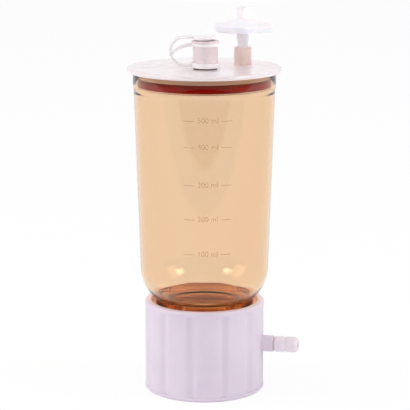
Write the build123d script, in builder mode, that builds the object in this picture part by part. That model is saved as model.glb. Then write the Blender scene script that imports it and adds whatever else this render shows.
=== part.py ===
"""Vacuum filtration unit: an amber funnel with a sealed lid, on a white holder with a hose barb.

Millimetres, +Z up. The origin is on the holder's axis, in the plane of its foot, and +X is the
way the hose barb points. The funnel screws into the top of the holder, over a 47 mm membrane on a
support screen, and a bottle screws into the bottom of it.
"""

import os
from math import asin, atan2, cos, degrees, radians, sin, sqrt, tan

from build123d import *

os.makedirs("parts", exist_ok=True)

# ---------------------------------------------------------------- driving dimensions

# Clearances shared by everything that fits together
RUNNING_FIT = 0.05  # radial, seals and spigots in their seats
THREAD_FIT = 0.30  # radial, between the plain cylinders that stand for a screw thread
LOOSE_FIT = 0.40  # radial, pieces dropped into a pocket
REST_GAP = 0.30  # between faces that only lie near each other

# Filter seat. The funnel's neck and the holder are sized outwards from the membrane.
MEMBRANE_R = 23.5
MEMBRANE_T = 0.3
SCREEN_MARGIN = 0.7  # the screen and both gaskets are this much wider than the membrane
SCREEN_T = 2.0
SCREEN_HOLE_R = 1.6
SCREEN_ROWS = 3
SCREEN_RIM = 0.4  # from the outer row of holes to the dish's edge
SEAT_GASKET_T = 1.0
SEAT_GASKET_W = 2.6
MEMBRANE_GASKET_T = 2.0
MEMBRANE_GASKET_W = 3.8
SEAT_WALL_T = 2.4
SEAT_WALL_H = 8.0
DISH_MARGIN = 1.0  # the dish is this much smaller than the gasket's bore
DISH_DEPTH = 3.6

# Holder (the white base)
HOLDER_H = 57.4
HOLDER_WALL = 3.0
RIM_WALL = 4.3
RIM_OPENING_STEP = 2.1  # the opening is this much wider than the funnel's socket
RIM_OPENING_DEPTH = 5.4
RIM_ROUNDING = 1.7
RIM_INNER_ROUNDING = 0.9
SEAT_DEPTH = 20.4  # from the rim down to the filter seat
SOCKET_FLOOR_DROP = 1.0  # the socket's floor is this much lower than the seat
WEB_T = 15.0  # between the filter seat and the bottle gasket
CORE_POCKET_RISE = 2.0  # the coring goes this much higher than the web's underside
CORE_RIB_T = 1.8
HOLDER_FOOT_H = 2.6
HOLDER_FOOT_CHAMFER = 1.2

# Grip flutes down the side of the holder
GRIP_FLUTES = 12
GRIP_BACK = 0.3  # from the fluted side to the rim's and the foot's outside
FLUTE_DEPTH = 1.1
FLUTE_FLOOR_W = 1.0
FLUTE_FLANK_ANGLE = 16.0
FLUTE_ROUNDING = 2.4
GRIP_TOP_BAND = 3.2  # plain band left under the rim

# Bottle bore, and the gasket snapped in a groove over it
BOTTLE_BORE_R = 22.9
BOTTLE_SLEEVE_WALL = 2.8
BOTTLE_GASKET_H = 2.0
BOTTLE_GASKET_IR = 17.0
BOTTLE_GASKET_LIP = 0.8  # the groove is this much wider than the bore

# Drain and vacuum duct
DRAIN_R = 2.5
DRIP_TIP_WALL = 2.0
DRIP_TIP_H = 1.8
DRIP_TIP_TAPER = 0.6
DUCT_R = 2.5
DUCT_DROP_X = 11.5
DUCT_RISE = 8.1  # the barb's axis is this much higher than the web's underside

# Hose barb, screwed into a boss on the side of the holder. Its lands are measured from the boss.
BARB_LAND_R = 4.95
BARB_GROOVE = 0.5
BARB_BORE_R = 2.2
BARB_SHANK_WALL = 1.4
BARB_SHANK_L = 9.0
BARB_FIRST_LAND = (1.8, 6.6)
BARB_SECOND_LAND = (8.6, 12.9)
BARB_LENGTH = 15.6
BARB_NOSE_DROP = 1.45
BARB_SEAL_T = 1.0
BOSS_STEP = 0.25  # the boss is this much larger than the barb's lands
BOSS_LENGTH = 6.9
BOSS_ROUNDING = 0.5

# Funnel
FUNNEL_SHOWN_H = 144.2  # from the holder's rim to the funnel's
WALL = 2.2
BAND_R = 44.3
BAND_H = 9.2
BAND_STEP = 0.45
BAND_BLEND_H = 1.8
CUP_TAPER = 3.75
BOWL_CENTRE_INSET = 2.6  # the bowl's rounding is centred this much inside the throat's wall
NECK_SHOWN_H = 1.526  # the bowl meets the neck this much over the holder's rim
NECK_WALL = 2.8
NECK_CLEARANCE = 1.2  # round the wall of the filter seat
NECK_LIFT = 4.2  # from the socket's floor
NECK_CHAMFER = 0.6
FUNNEL_RIM_ROUNDING = 0.5
SPIGOT_WALL = 3.6
THROAT_STEP = 0.2  # the throat is this much smaller than the gasket's bore

# Lid
LID_OVERHANG = 3.7
LID_T = 2.9
LID_EDGE_ROUNDING = 1.2
PLUG_WALL = 2.4
PLUG_LIP_H = 1.0
PLUG_BACK = 0.6  # how far the plug's flanges stand back from the seal's rim
SEAL_H = 5.0
SEAL_T = 3.0
SEAL_ROUNDING = 1.1
SEAL_DROP = 3.3  # from the funnel's rim down to the seal

# Fill port, bolted through the lid
PORT_DISTANCE = 11.0
PORT_ANGLE = -75.0
PORT_BORE_R = 6.1
PORT_WALL = 1.6
PORT_H = 17.4
PORT_LIP = 0.8
PORT_LIP_H = 1.5
PORT_LIP_ROUNDING = 0.4
PORT_SHANK_STEP = 0.7
PORT_SHANK_BELOW = 4.2
PORT_WASHER_T = 0.8
PORT_WASHER_W = 0.3
PORT_NUT_W = 2.6
PORT_NUT_H = 3.0
PORT_NUT_NOTCHES = 6
PORT_NUT_NOTCH = (1.6, 2.4)

# Cap and tether, one soft moulding that bends at its far end
TETHER_ANGLE = 192.0
TETHER_REACH = 21.4
TETHER_BEND_R = 8.7
TETHER_ARM_DROP = 14.0
TETHER_ARM_R = 20.0
TETHER_WIDTH = 5.0
TETHER_T = 1.6
TETHER_LIFT = 0.5  # of the strap, from the bottom of the ring that it leaves
FOOT_RING_W = 0.9
FOOT_RING_H = 3.0
FOOT_RING_LIFT = 0.9
NECK_RING_W = 0.8
NECK_RING_H = 1.8
CAP_INSET = 0.8
CAP_T = 2.4
CAP_SHIFT = 0.6
CAP_TILT = 3.0
CAP_ROUNDING = 0.7
CAP_PLUG_H = 2.4
CAP_PLUG_PLAY = 1.5
CAP_PLUG_TAPER = 0.7
STRAP_ROOT = 0.7  # how far the strap runs into a ring
CAP_STRAP_ROOT = 1.5  # how far it runs into the cap

# Vent filter in its soft sleeve
VENT_DISTANCE = 25.8
VENT_ANGLE = 34.7
NIPPLE_R = 3.4
NIPPLE_H = 6.0
NIPPLE_BORE_R = 1.6
NIPPLE_ROUNDING = 0.6
SLEEVE_WALL = 2.0
SLEEVE_H = 11.0
SLEEVE_ROUNDING = 0.4
LUER_R = 2.75
LUER_TAPER = 0.35
LUER_DEPTH = 4.2
LUER_BORE_R = 1.3
LUER_SHOWN = 4.4
LUER_RIBS = 8
LUER_RIB = 0.35
HUB_STEP = 1.0
HUB_H = 4.9
HUB_NECK_H = 0.6  # where the hub and the stem flare into the disc
DISC_R = 18.2
DISC_T = 4.4
DISC_LOWER_ROUNDING = 0.9
DISC_UPPER_ROUNDING = 1.1
DISC_LAND = 1.3  # flat ring round each cone
DISC_CONE_R = 5.6
LOWER_CONE_H = 0.7
UPPER_CONE_H = 2.5
DISC_SKIN = 1.0
DISC_WELD = 2.2
DISC_CLAMP = 1.4
STEM_BORE_R = 2.1
STEM_WALL = 2.05
STEM_TOP_H = 7.8
STEM_BORE_DEPTH = 7.0
STEM_ROUNDING = 0.4
VENT_MEMBRANE_T = 0.4

# ---------------------------------------------------------------- sizes worked out

# Radii from the membrane outwards
SCREEN_R = MEMBRANE_R + SCREEN_MARGIN
SEAT_GASKET_IR = SCREEN_R - SEAT_GASKET_W
DISH_MOUTH_R = SEAT_GASKET_IR - DISH_MARGIN
SCREEN_PITCH = (DISH_MOUTH_R - SCREEN_RIM - SCREEN_HOLE_R) / SCREEN_ROWS
MEMBRANE_GASKET_IR = SCREEN_R - MEMBRANE_GASKET_W
THROAT_R = MEMBRANE_GASKET_IR - THROAT_STEP
SPIGOT_R = THROAT_R + SPIGOT_WALL
SEAT_POCKET_R = SCREEN_R + LOOSE_FIT
SEAT_WALL_R = SEAT_POCKET_R + SEAT_WALL_T
NECK_BORE_R = SEAT_WALL_R + NECK_CLEARANCE
NECK_R = NECK_BORE_R + NECK_WALL
SOCKET_R = NECK_R + THREAD_FIT
RIM_OPENING_R = SOCKET_R + RIM_OPENING_STEP
HOLDER_R = RIM_OPENING_R + RIM_WALL
SHELL_R = HOLDER_R - GRIP_BACK

# Heights in the holder
SEAT_FLOOR_Z = HOLDER_H - SEAT_DEPTH
WEB_BOTTOM_Z = SEAT_FLOOR_Z - WEB_T
BOTTLE_BORE_DEPTH = WEB_BOTTOM_Z - BOTTLE_GASKET_H
BARB_Z = WEB_BOTTOM_Z + DUCT_RISE
SOCKET_TOP_Z = HOLDER_H - RIM_OPENING_DEPTH
SOCKET_FLOOR_Z = SEAT_FLOOR_Z - SOCKET_FLOOR_DROP
SEAT_WALL_TOP_Z = SEAT_FLOOR_Z + SEAT_WALL_H
SCREEN_Z = SEAT_FLOOR_Z + SEAT_GASKET_T
MEMBRANE_Z = SCREEN_Z + SCREEN_T
MEMBRANE_GASKET_Z = MEMBRANE_Z + MEMBRANE_T
SPIGOT_Z = MEMBRANE_GASKET_Z + MEMBRANE_GASKET_T

# Hose barb
BARB_SHANK_R = BARB_BORE_R + BARB_SHANK_WALL
BARB_NECK_R = BARB_LAND_R - BARB_GROOVE
BARB_NOSE_L = BARB_LENGTH - BARB_SECOND_LAND[1]
BARB_NOSE_R = (BARB_NOSE_L**2 + BARB_NOSE_DROP**2) / (2 * BARB_NOSE_DROP)
BOSS_R = BARB_LAND_R + BOSS_STEP
BOSS_END = HOLDER_R + BOSS_LENGTH

# Funnel
NECK_BOTTOM_Z = SOCKET_FLOOR_Z + NECK_LIFT
RIM_Z = HOLDER_H + FUNNEL_SHOWN_H
BAND_BOTTOM_Z = RIM_Z - BAND_H
BODY_TOP_Z = BAND_BOTTOM_Z - BAND_BLEND_H
BODY_TOP_R = BAND_R - BAND_STEP
BOWL_TOP_R = BODY_TOP_R - CUP_TAPER
BOWL_CENTRE_R = THROAT_R - BOWL_CENTRE_INSET
BOWL_R = BOWL_TOP_R - BOWL_CENTRE_R
BOWL_BORE_R = BOWL_R - WALL
NECK_JOIN_Z = HOLDER_H + NECK_SHOWN_H
BOWL_CENTRE_Z = NECK_JOIN_Z + sqrt(BOWL_R**2 - (NECK_R - BOWL_CENTRE_R) ** 2)
CUP_RIM_BORE_R = BAND_R - WALL
CUP_BORE_TOP_R = BODY_TOP_R - WALL
THROAT_JOIN_Z = BOWL_CENTRE_Z - sqrt(BOWL_BORE_R**2 - (THROAT_R - BOWL_CENTRE_R) ** 2)
NECK_ROOF_Z = BOWL_CENTRE_Z - sqrt(BOWL_R**2 - (NECK_BORE_R - BOWL_CENTRE_R) ** 2)
SPIGOT_ROOF_Z = BOWL_CENTRE_Z - sqrt(BOWL_R**2 - (SPIGOT_R - BOWL_CENTRE_R) ** 2)

# Lid and its seal
LID_R = BAND_R + LID_OVERHANG
LID_BOTTOM_Z = RIM_Z
LID_TOP_Z = LID_BOTTOM_Z + LID_T
SEAL_OUTER_R = CUP_RIM_BORE_R - RUNNING_FIT
SEAL_INNER_R = SEAL_OUTER_R - SEAL_T
SEAL_TOP_Z = RIM_Z - SEAL_DROP
SEAL_BOTTOM_Z = SEAL_TOP_Z - SEAL_H
PLUG_R = SEAL_OUTER_R - PLUG_BACK
PLUG_BOTTOM_Z = SEAL_BOTTOM_Z - PLUG_LIP_H
PLUG_BORE_R = SEAL_INNER_R - PLUG_WALL

# Fill port
PORT_X = PORT_DISTANCE * cos(radians(PORT_ANGLE))
PORT_Y = PORT_DISTANCE * sin(radians(PORT_ANGLE))
PORT_R = PORT_BORE_R + PORT_WALL
PORT_LIP_R = PORT_R + PORT_LIP
PORT_SHANK_R = PORT_R - PORT_SHANK_STEP
PORT_WASHER_R = PORT_SHANK_R + PORT_WASHER_W
PORT_NUT_R = PORT_SHANK_R + PORT_NUT_W
PORT_SHOULDER_Z = LID_TOP_Z + PORT_WASHER_T
PORT_TOP_Z = LID_TOP_Z + PORT_H
PORT_LIP_Z = PORT_TOP_Z - PORT_LIP_H

# Cap and tether
FOOT_RING_R = PORT_R + FOOT_RING_W
FOOT_RING_Z = LID_TOP_Z + FOOT_RING_LIFT
NECK_RING_R = PORT_R + NECK_RING_W
NECK_RING_Z = PORT_LIP_Z - NECK_RING_H
TETHER_LOW_Z = FOOT_RING_Z + TETHER_LIFT + TETHER_T / 2
TETHER_BEND_CENTRE = (TETHER_REACH - TETHER_BEND_R, TETHER_LOW_Z + TETHER_BEND_R)
TETHER_HIGH_Z = TETHER_LOW_Z + 2 * TETHER_BEND_R
CAP_R = PORT_R - CAP_INSET
CAP_PLUG_TOP_R = PORT_BORE_R - CAP_PLUG_PLAY
CAP_PLUG_TIP_R = CAP_PLUG_TOP_R - CAP_PLUG_TAPER

# Vent filter and its sleeve
VENT_X = VENT_DISTANCE * cos(radians(VENT_ANGLE))
VENT_Y = VENT_DISTANCE * sin(radians(VENT_ANGLE))
SLEEVE_R = NIPPLE_R + RUNNING_FIT + SLEEVE_WALL
SLEEVE_TOP_Z = LID_TOP_Z + SLEEVE_H
LUER_TIP_R = LUER_R - LUER_TAPER
LUER_TIP_Z = SLEEVE_TOP_Z - LUER_DEPTH
HUB_R = LUER_R + HUB_STEP
HUB_Z = SLEEVE_TOP_Z + LUER_SHOWN
HUB_TOP_Z = HUB_Z + HUB_H
DISC_Z = HUB_TOP_Z + LOWER_CONE_H
DISC_MID_Z = DISC_Z + DISC_T / 2
DISC_TOP_Z = DISC_Z + DISC_T
STEM_R = STEM_BORE_R + STEM_WALL
STEM_Z = DISC_TOP_Z + UPPER_CONE_H
STEM_TOP_Z = STEM_Z + STEM_TOP_H

BARB_PLANE = Plane(origin=(0, 0, BARB_Z), x_dir=(1, 0, 0), z_dir=(0, -1, 0))
BARB_AXIS = Axis((0, 0, BARB_Z), (1, 0, 0))
PORT_PLANE = Plane(origin=(PORT_X, PORT_Y, 0))
PORT_SECTION = Plane(origin=(PORT_X, PORT_Y, 0), x_dir=(1, 0, 0), z_dir=(0, -1, 0))
PORT_AXIS = Axis((PORT_X, PORT_Y, 0), (0, 0, 1))
TETHER_PLANE = Plane(
    origin=(PORT_X, PORT_Y, 0),
    x_dir=(cos(radians(TETHER_ANGLE)), sin(radians(TETHER_ANGLE)), 0),
    z_dir=(sin(radians(TETHER_ANGLE)), -cos(radians(TETHER_ANGLE)), 0),
)
VENT_PLANE = Plane(origin=(VENT_X, VENT_Y, 0))
VENT_SECTION = Plane(origin=(VENT_X, VENT_Y, 0), x_dir=(1, 0, 0), z_dir=(0, -1, 0))
VENT_AXIS = Axis((VENT_X, VENT_Y, 0), (0, 0, 1))


def write(piece, node):
    """Labels a finished piece with its node name and writes its STEP file."""
    piece.part.label = node
    export_step(piece.part, f"parts/{node}.step")


# ---------------------------------------------------------------- holder

shell_inner_r = SHELL_R - HOLDER_WALL
sleeve_outer_r = BOTTLE_BORE_R + BOTTLE_SLEEVE_WALL
groove_r = BOTTLE_BORE_R + BOTTLE_GASKET_LIP
drip_tip_r = DRAIN_R + DRIP_TIP_WALL
drip_tip_z = WEB_BOTTOM_Z - DRIP_TIP_H

# Each flute is cut by a trapezoid that is wider than the flute where it leaves the shell's round.
flute_half_w = FLUTE_FLOOR_W / 2
flute_mouth_half_w = flute_half_w + 2 * FLUTE_DEPTH / tan(radians(FLUTE_FLANK_ANGLE))

with BuildPart() as holder:
    # Fluted side
    with BuildSketch(Plane.XY.offset(HOLDER_FOOT_H)) as side:
        Circle(SHELL_R)
        with PolarLocations(SHELL_R, GRIP_FLUTES):
            Polygon(
                (FLUTE_DEPTH, -flute_mouth_half_w),
                (FLUTE_DEPTH, flute_mouth_half_w),
                (-FLUTE_DEPTH, flute_half_w),
                (-FLUTE_DEPTH, -flute_half_w),
                align=None,
                mode=Mode.SUBTRACT,
            )
        fillet(side.vertices(), FLUTE_ROUNDING)
    extrude(amount=HOLDER_H - GRIP_TOP_BAND - HOLDER_FOOT_H)

    # Plain foot and rounded rim, standing a little proud of the side
    with BuildSketch(Plane.XZ) as foot_and_rim:
        with BuildLine():
            Polyline(
                (0, 0),
                (HOLDER_R - HOLDER_FOOT_CHAMFER, 0),
                (HOLDER_R, HOLDER_FOOT_CHAMFER),
                (HOLDER_R, HOLDER_FOOT_H),
                (0, HOLDER_FOOT_H),
                close=True,
            )
        make_face()
        with Locations((0, HOLDER_H - GRIP_TOP_BAND)):
            Rectangle(HOLDER_R, GRIP_TOP_BAND, align=Align.MIN)
        rim_corner = foot_and_rim.vertices().group_by(Axis.Y)[-1].sort_by(Axis.X)[-1:]
        fillet(rim_corner, RIM_ROUNDING)
    revolve(axis=Axis.Z)

    # Socket for the funnel's neck, with a wall round the filter seat standing in it
    with BuildSketch(Plane.XZ):
        with BuildLine():
            Polyline(
                (RIM_OPENING_R + RIM_INNER_ROUNDING, HOLDER_H),
                (0, HOLDER_H),
                (0, SEAT_WALL_TOP_Z),
                (SEAT_WALL_R, SEAT_WALL_TOP_Z),
                (SEAT_WALL_R, SOCKET_FLOOR_Z),
                (SOCKET_R, SOCKET_FLOOR_Z),
                (SOCKET_R, SOCKET_TOP_Z),
                (RIM_OPENING_R, SOCKET_TOP_Z + RIM_OPENING_STEP),
                (RIM_OPENING_R, HOLDER_H - RIM_INNER_ROUNDING),
            )
            CenterArc(
                (RIM_OPENING_R + RIM_INNER_ROUNDING, HOLDER_H - RIM_INNER_ROUNDING),
                RIM_INNER_ROUNDING,
                90,
                90,
            )
        make_face()
    revolve(axis=Axis.Z, mode=Mode.SUBTRACT)

    # Filter seat, collecting dish and drain
    with BuildSketch(Plane.XZ):
        with BuildLine():
            Polyline(
                (0, SEAT_WALL_TOP_Z),
                (SEAT_POCKET_R, SEAT_WALL_TOP_Z),
                (SEAT_POCKET_R, SEAT_FLOOR_Z),
                (DISH_MOUTH_R, SEAT_FLOOR_Z),
                (DRAIN_R, SEAT_FLOOR_Z - DISH_DEPTH),
                (DRAIN_R, 0),
                (0, 0),
                close=True,
            )
        make_face()
    revolve(axis=Axis.Z, mode=Mode.SUBTRACT)

    # Bottle bore with its gasket groove, and the drip tip left standing in the middle
    with BuildSketch(Plane.XZ):
        with BuildLine():
            Polyline(
                (0, 0),
                (BOTTLE_BORE_R, 0),
                (BOTTLE_BORE_R, BOTTLE_BORE_DEPTH),
                (groove_r, BOTTLE_BORE_DEPTH),
                (groove_r, WEB_BOTTOM_Z),
                (drip_tip_r, WEB_BOTTOM_Z),
                (drip_tip_r - DRIP_TIP_TAPER, drip_tip_z),
                (0, drip_tip_z),
                close=True,
            )
        make_face()
    revolve(axis=Axis.Z, mode=Mode.SUBTRACT)

    # Coring between the bottle sleeve and the shell, crossed by radial ribs
    with BuildSketch(Plane.XY):
        Circle(shell_inner_r)
        Circle(sleeve_outer_r, mode=Mode.SUBTRACT)
        with PolarLocations(HOLDER_R / 2, GRIP_FLUTES):
            Rectangle(HOLDER_R, CORE_RIB_T, mode=Mode.SUBTRACT)
    extrude(amount=WEB_BOTTOM_Z + CORE_POCKET_RISE, mode=Mode.SUBTRACT)

    # Boss for the hose barb, and the duct from it down into the bottle's mouth
    with BuildSketch(Plane.YZ.offset(SHELL_R - HOLDER_WALL / 2)):
        with Locations((0, BARB_Z)):
            Circle(BOSS_R)
    extrude(amount=BOSS_END - SHELL_R + HOLDER_WALL / 2)
    boss_edge = holder.edges().filter_by(GeomType.CIRCLE).sort_by(Axis.X)[-1]
    fillet(boss_edge, BOSS_ROUNDING)
    with BuildSketch(Plane.YZ.offset(BOSS_END)):
        with Locations((0, BARB_Z)):
            Circle(BARB_SHANK_R)
    extrude(amount=-BARB_SHANK_L, mode=Mode.SUBTRACT)
    with BuildSketch(Plane.YZ.offset(DUCT_DROP_X)):
        with Locations((0, BARB_Z)):
            Circle(DUCT_R)
    extrude(amount=BOSS_END - DUCT_DROP_X, mode=Mode.SUBTRACT)
    with BuildSketch(Plane.XY.offset(WEB_BOTTOM_Z)):
        with Locations((DUCT_DROP_X, 0)):
            Circle(DUCT_R)
    extrude(amount=DUCT_RISE, mode=Mode.SUBTRACT)

write(holder, "holder")

with BuildPart() as bottle_gasket:
    with BuildSketch(Plane.XY.offset(BOTTLE_BORE_DEPTH)):
        Circle(groove_r - RUNNING_FIT)
        Circle(BOTTLE_GASKET_IR, mode=Mode.SUBTRACT)
    extrude(amount=BOTTLE_GASKET_H)

write(bottle_gasket, "bottle_gasket")

# ---------------------------------------------------------------- hose barb

shank_end_x = BOSS_END - BARB_SHANK_L
shoulder_x = BOSS_END + BARB_SEAL_T
first_x, first_end_x = (BOSS_END + along for along in BARB_FIRST_LAND)
second_x, second_end_x = (BOSS_END + along for along in BARB_SECOND_LAND)
nose_x = BOSS_END + BARB_LENGTH
nose_end_r = BARB_LAND_R - BARB_NOSE_DROP

with BuildPart() as hose_barb:
    with BuildSketch(BARB_PLANE):
        with BuildLine():
            Polyline(
                (shank_end_x, BARB_BORE_R),
                (shank_end_x, BARB_SHANK_R - RUNNING_FIT),
                (shoulder_x, BARB_SHANK_R - RUNNING_FIT),
                (shoulder_x, BARB_NECK_R),
                (first_x, BARB_LAND_R),
                (first_end_x, BARB_LAND_R),
                (first_end_x + BARB_GROOVE, BARB_NECK_R),
                (second_x - BARB_GROOVE, BARB_NECK_R),
                (second_x, BARB_LAND_R),
                (second_end_x, BARB_LAND_R),
            )
            RadiusArc((second_end_x, BARB_LAND_R), (nose_x, nose_end_r), BARB_NOSE_R)
            Polyline(
                (nose_x, nose_end_r),
                (nose_x, BARB_BORE_R),
                (shank_end_x, BARB_BORE_R),
            )
        make_face()
    revolve(axis=BARB_AXIS)

write(hose_barb, "hose_barb")

with BuildPart() as barb_seal:
    with BuildSketch(Plane.YZ.offset(BOSS_END)):
        with Locations((0, BARB_Z)):
            Circle(BARB_NECK_R - RUNNING_FIT)
            Circle(BARB_SHANK_R, mode=Mode.SUBTRACT)
    extrude(amount=BARB_SEAL_T)

write(barb_seal, "barb_seal")

# ---------------------------------------------------------------- filter seat

with BuildPart() as seat_gasket:
    with BuildSketch(Plane.XY.offset(SEAT_FLOOR_Z)):
        Circle(SCREEN_R)
        Circle(SEAT_GASKET_IR, mode=Mode.SUBTRACT)
    extrude(amount=SEAT_GASKET_T)

write(seat_gasket, "seat_gasket")

with BuildPart() as support_screen:
    with BuildSketch(Plane.XY.offset(SCREEN_Z)):
        Circle(SCREEN_R)
        Circle(SCREEN_HOLE_R, mode=Mode.SUBTRACT)
        for row in range(1, SCREEN_ROWS + 1):
            with PolarLocations(row * SCREEN_PITCH, 6 * row):
                Circle(SCREEN_HOLE_R, mode=Mode.SUBTRACT)
    extrude(amount=SCREEN_T)

write(support_screen, "support_screen")

with BuildPart() as filter_membrane:
    with BuildSketch(Plane.XY.offset(MEMBRANE_Z)):
        Circle(MEMBRANE_R)
    extrude(amount=MEMBRANE_T)

write(filter_membrane, "filter_membrane")

with BuildPart() as membrane_gasket:
    with BuildSketch(Plane.XY.offset(MEMBRANE_GASKET_Z)):
        Circle(SCREEN_R)
        Circle(MEMBRANE_GASKET_IR, mode=Mode.SUBTRACT)
    extrude(amount=MEMBRANE_GASKET_T)

write(membrane_gasket, "membrane_gasket")

# ---------------------------------------------------------------- funnel

bowl_end_angle = degrees(asin((BOWL_CENTRE_Z - NECK_JOIN_Z) / BOWL_R))
bowl_bore_end_angle = degrees(asin((BOWL_CENTRE_Z - THROAT_JOIN_Z) / BOWL_BORE_R))
bowl_centre = (BOWL_CENTRE_R, BOWL_CENTRE_Z)
roof_z = min(SPIGOT_ROOF_Z, NECK_ROOF_Z) - WALL

with BuildPart() as funnel:
    with BuildSketch(Plane.XZ) as funnel_section:
        with BuildLine():
            # Outside, from the rim down to the neck
            Polyline(
                (CUP_RIM_BORE_R, RIM_Z),
                (BAND_R, RIM_Z),
                (BAND_R, BAND_BOTTOM_Z),
                (BODY_TOP_R, BODY_TOP_Z),
                (BOWL_TOP_R, BOWL_CENTRE_Z),
            )
            CenterArc(bowl_centre, BOWL_R, 0, -bowl_end_angle)
            Polyline(
                (NECK_R, NECK_JOIN_Z),
                (NECK_R, NECK_BOTTOM_Z),
                (NECK_BORE_R, NECK_BOTTOM_Z),
                (NECK_BORE_R, roof_z + (NECK_BORE_R - SPIGOT_R) / 2),
                (SPIGOT_R, roof_z),
                (SPIGOT_R, SPIGOT_Z),
                (THROAT_R, SPIGOT_Z),
                (THROAT_R, THROAT_JOIN_Z),
            )
            # Inside, from the throat up to the rim
            CenterArc(bowl_centre, BOWL_BORE_R, 0, -bowl_bore_end_angle)
            Polyline(
                (BOWL_TOP_R - WALL, BOWL_CENTRE_Z),
                (CUP_BORE_TOP_R, BODY_TOP_Z - BAND_BLEND_H),
                (CUP_RIM_BORE_R, BODY_TOP_Z),
                (CUP_RIM_BORE_R, RIM_Z),
            )
        make_face()
        rim_corners = funnel_section.vertices().group_by(Axis.Y)[-1]
        fillet(rim_corners, FUNNEL_RIM_ROUNDING)
        neck_corners = funnel_section.vertices().group_by(Axis.Y)[0]
        chamfer(neck_corners, NECK_CHAMFER)
    revolve(axis=Axis.Z)

write(funnel, "funnel")

# ---------------------------------------------------------------- lid and its seal

with BuildPart() as lid:
    # Plate with a rounded edge, and the plug that carries the seal in a groove
    with BuildSketch(Plane.XZ) as lid_section:
        with BuildLine():
            Polyline(
                (0, LID_BOTTOM_Z),
                (PLUG_BORE_R, LID_BOTTOM_Z),
                (PLUG_BORE_R, PLUG_BOTTOM_Z),
                (PLUG_R, PLUG_BOTTOM_Z),
                (PLUG_R, SEAL_BOTTOM_Z),
                (SEAL_INNER_R, SEAL_BOTTOM_Z),
                (SEAL_INNER_R, SEAL_TOP_Z),
                (PLUG_R, SEAL_TOP_Z),
                (PLUG_R, LID_BOTTOM_Z),
                (LID_R, LID_BOTTOM_Z),
                (LID_R, LID_TOP_Z),
                (0, LID_TOP_Z),
                close=True,
            )
        make_face()
        edge_corners = lid_section.vertices().group_by(Axis.X)[-1]
        fillet(edge_corners, LID_EDGE_ROUNDING)
    revolve(axis=Axis.Z)

    # Hole for the fill port
    with BuildSketch(PORT_PLANE.offset(LID_BOTTOM_Z)):
        Circle(PORT_SHANK_R + RUNNING_FIT)
    extrude(amount=LID_T, mode=Mode.SUBTRACT)

    # Nipple for the vent sleeve
    with BuildSketch(VENT_PLANE.offset(LID_TOP_Z)):
        Circle(NIPPLE_R)
    extrude(amount=NIPPLE_H)
    nipple_edge = lid.edges().filter_by(GeomType.CIRCLE).sort_by(Axis.Z)[-1]
    fillet(nipple_edge, NIPPLE_ROUNDING)
    with BuildSketch(VENT_PLANE.offset(LID_BOTTOM_Z)):
        Circle(NIPPLE_BORE_R)
    extrude(amount=LID_T + NIPPLE_H, mode=Mode.SUBTRACT)

write(lid, "lid")

with BuildPart() as lid_seal:
    with BuildSketch(Plane.XZ) as seal_section:
        with Locations((SEAL_INNER_R + SEAL_T / 2, SEAL_BOTTOM_Z + SEAL_H / 2)):
            Rectangle(SEAL_T, SEAL_H)
        seal_corners = seal_section.vertices().group_by(Axis.X)[-1]
        fillet(seal_corners, SEAL_ROUNDING)
    revolve(axis=Axis.Z)

write(lid_seal, "lid_seal")

# ---------------------------------------------------------------- fill port

with BuildPart() as fill_port:
    with BuildSketch(PORT_SECTION) as port_section:
        with BuildLine():
            Polyline(
                (PORT_BORE_R, LID_BOTTOM_Z - PORT_SHANK_BELOW),
                (PORT_SHANK_R, LID_BOTTOM_Z - PORT_SHANK_BELOW),
                (PORT_SHANK_R, PORT_SHOULDER_Z),
                (PORT_R, PORT_SHOULDER_Z),
                (PORT_R, PORT_LIP_Z),
                (PORT_LIP_R, PORT_LIP_Z),
                (PORT_LIP_R, PORT_TOP_Z),
                (PORT_BORE_R, PORT_TOP_Z),
                close=True,
            )
        make_face()
        lip_corners = port_section.vertices().group_by(Axis.Y)[-1]
        fillet(lip_corners, PORT_LIP_ROUNDING)
    revolve(axis=PORT_AXIS)

write(fill_port, "fill_port")

with BuildPart() as port_washer:
    with BuildSketch(PORT_PLANE.offset(LID_TOP_Z)):
        Circle(PORT_WASHER_R)
        Circle(PORT_SHANK_R + RUNNING_FIT, mode=Mode.SUBTRACT)
    extrude(amount=PORT_WASHER_T)

write(port_washer, "port_washer")

with BuildPart() as port_nut:
    with BuildSketch(PORT_PLANE.offset(LID_BOTTOM_Z - PORT_NUT_H)):
        Circle(PORT_NUT_R)
        Circle(PORT_SHANK_R + RUNNING_FIT, mode=Mode.SUBTRACT)
        with PolarLocations(PORT_NUT_R, PORT_NUT_NOTCHES):
            Rectangle(*PORT_NUT_NOTCH, mode=Mode.SUBTRACT)
    extrude(amount=PORT_NUT_H)

write(port_nut, "port_nut")

# ---------------------------------------------------------------- tether and cap

bend_x, bend_z = TETHER_BEND_CENTRE
arm_start = (NECK_RING_R - STRAP_ROOT, NECK_RING_Z + NECK_RING_H / 2)
arm_end = (
    bend_x + TETHER_BEND_R * cos(radians(TETHER_ARM_DROP)),
    bend_z - TETHER_BEND_R * sin(radians(TETHER_ARM_DROP)),
)

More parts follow.
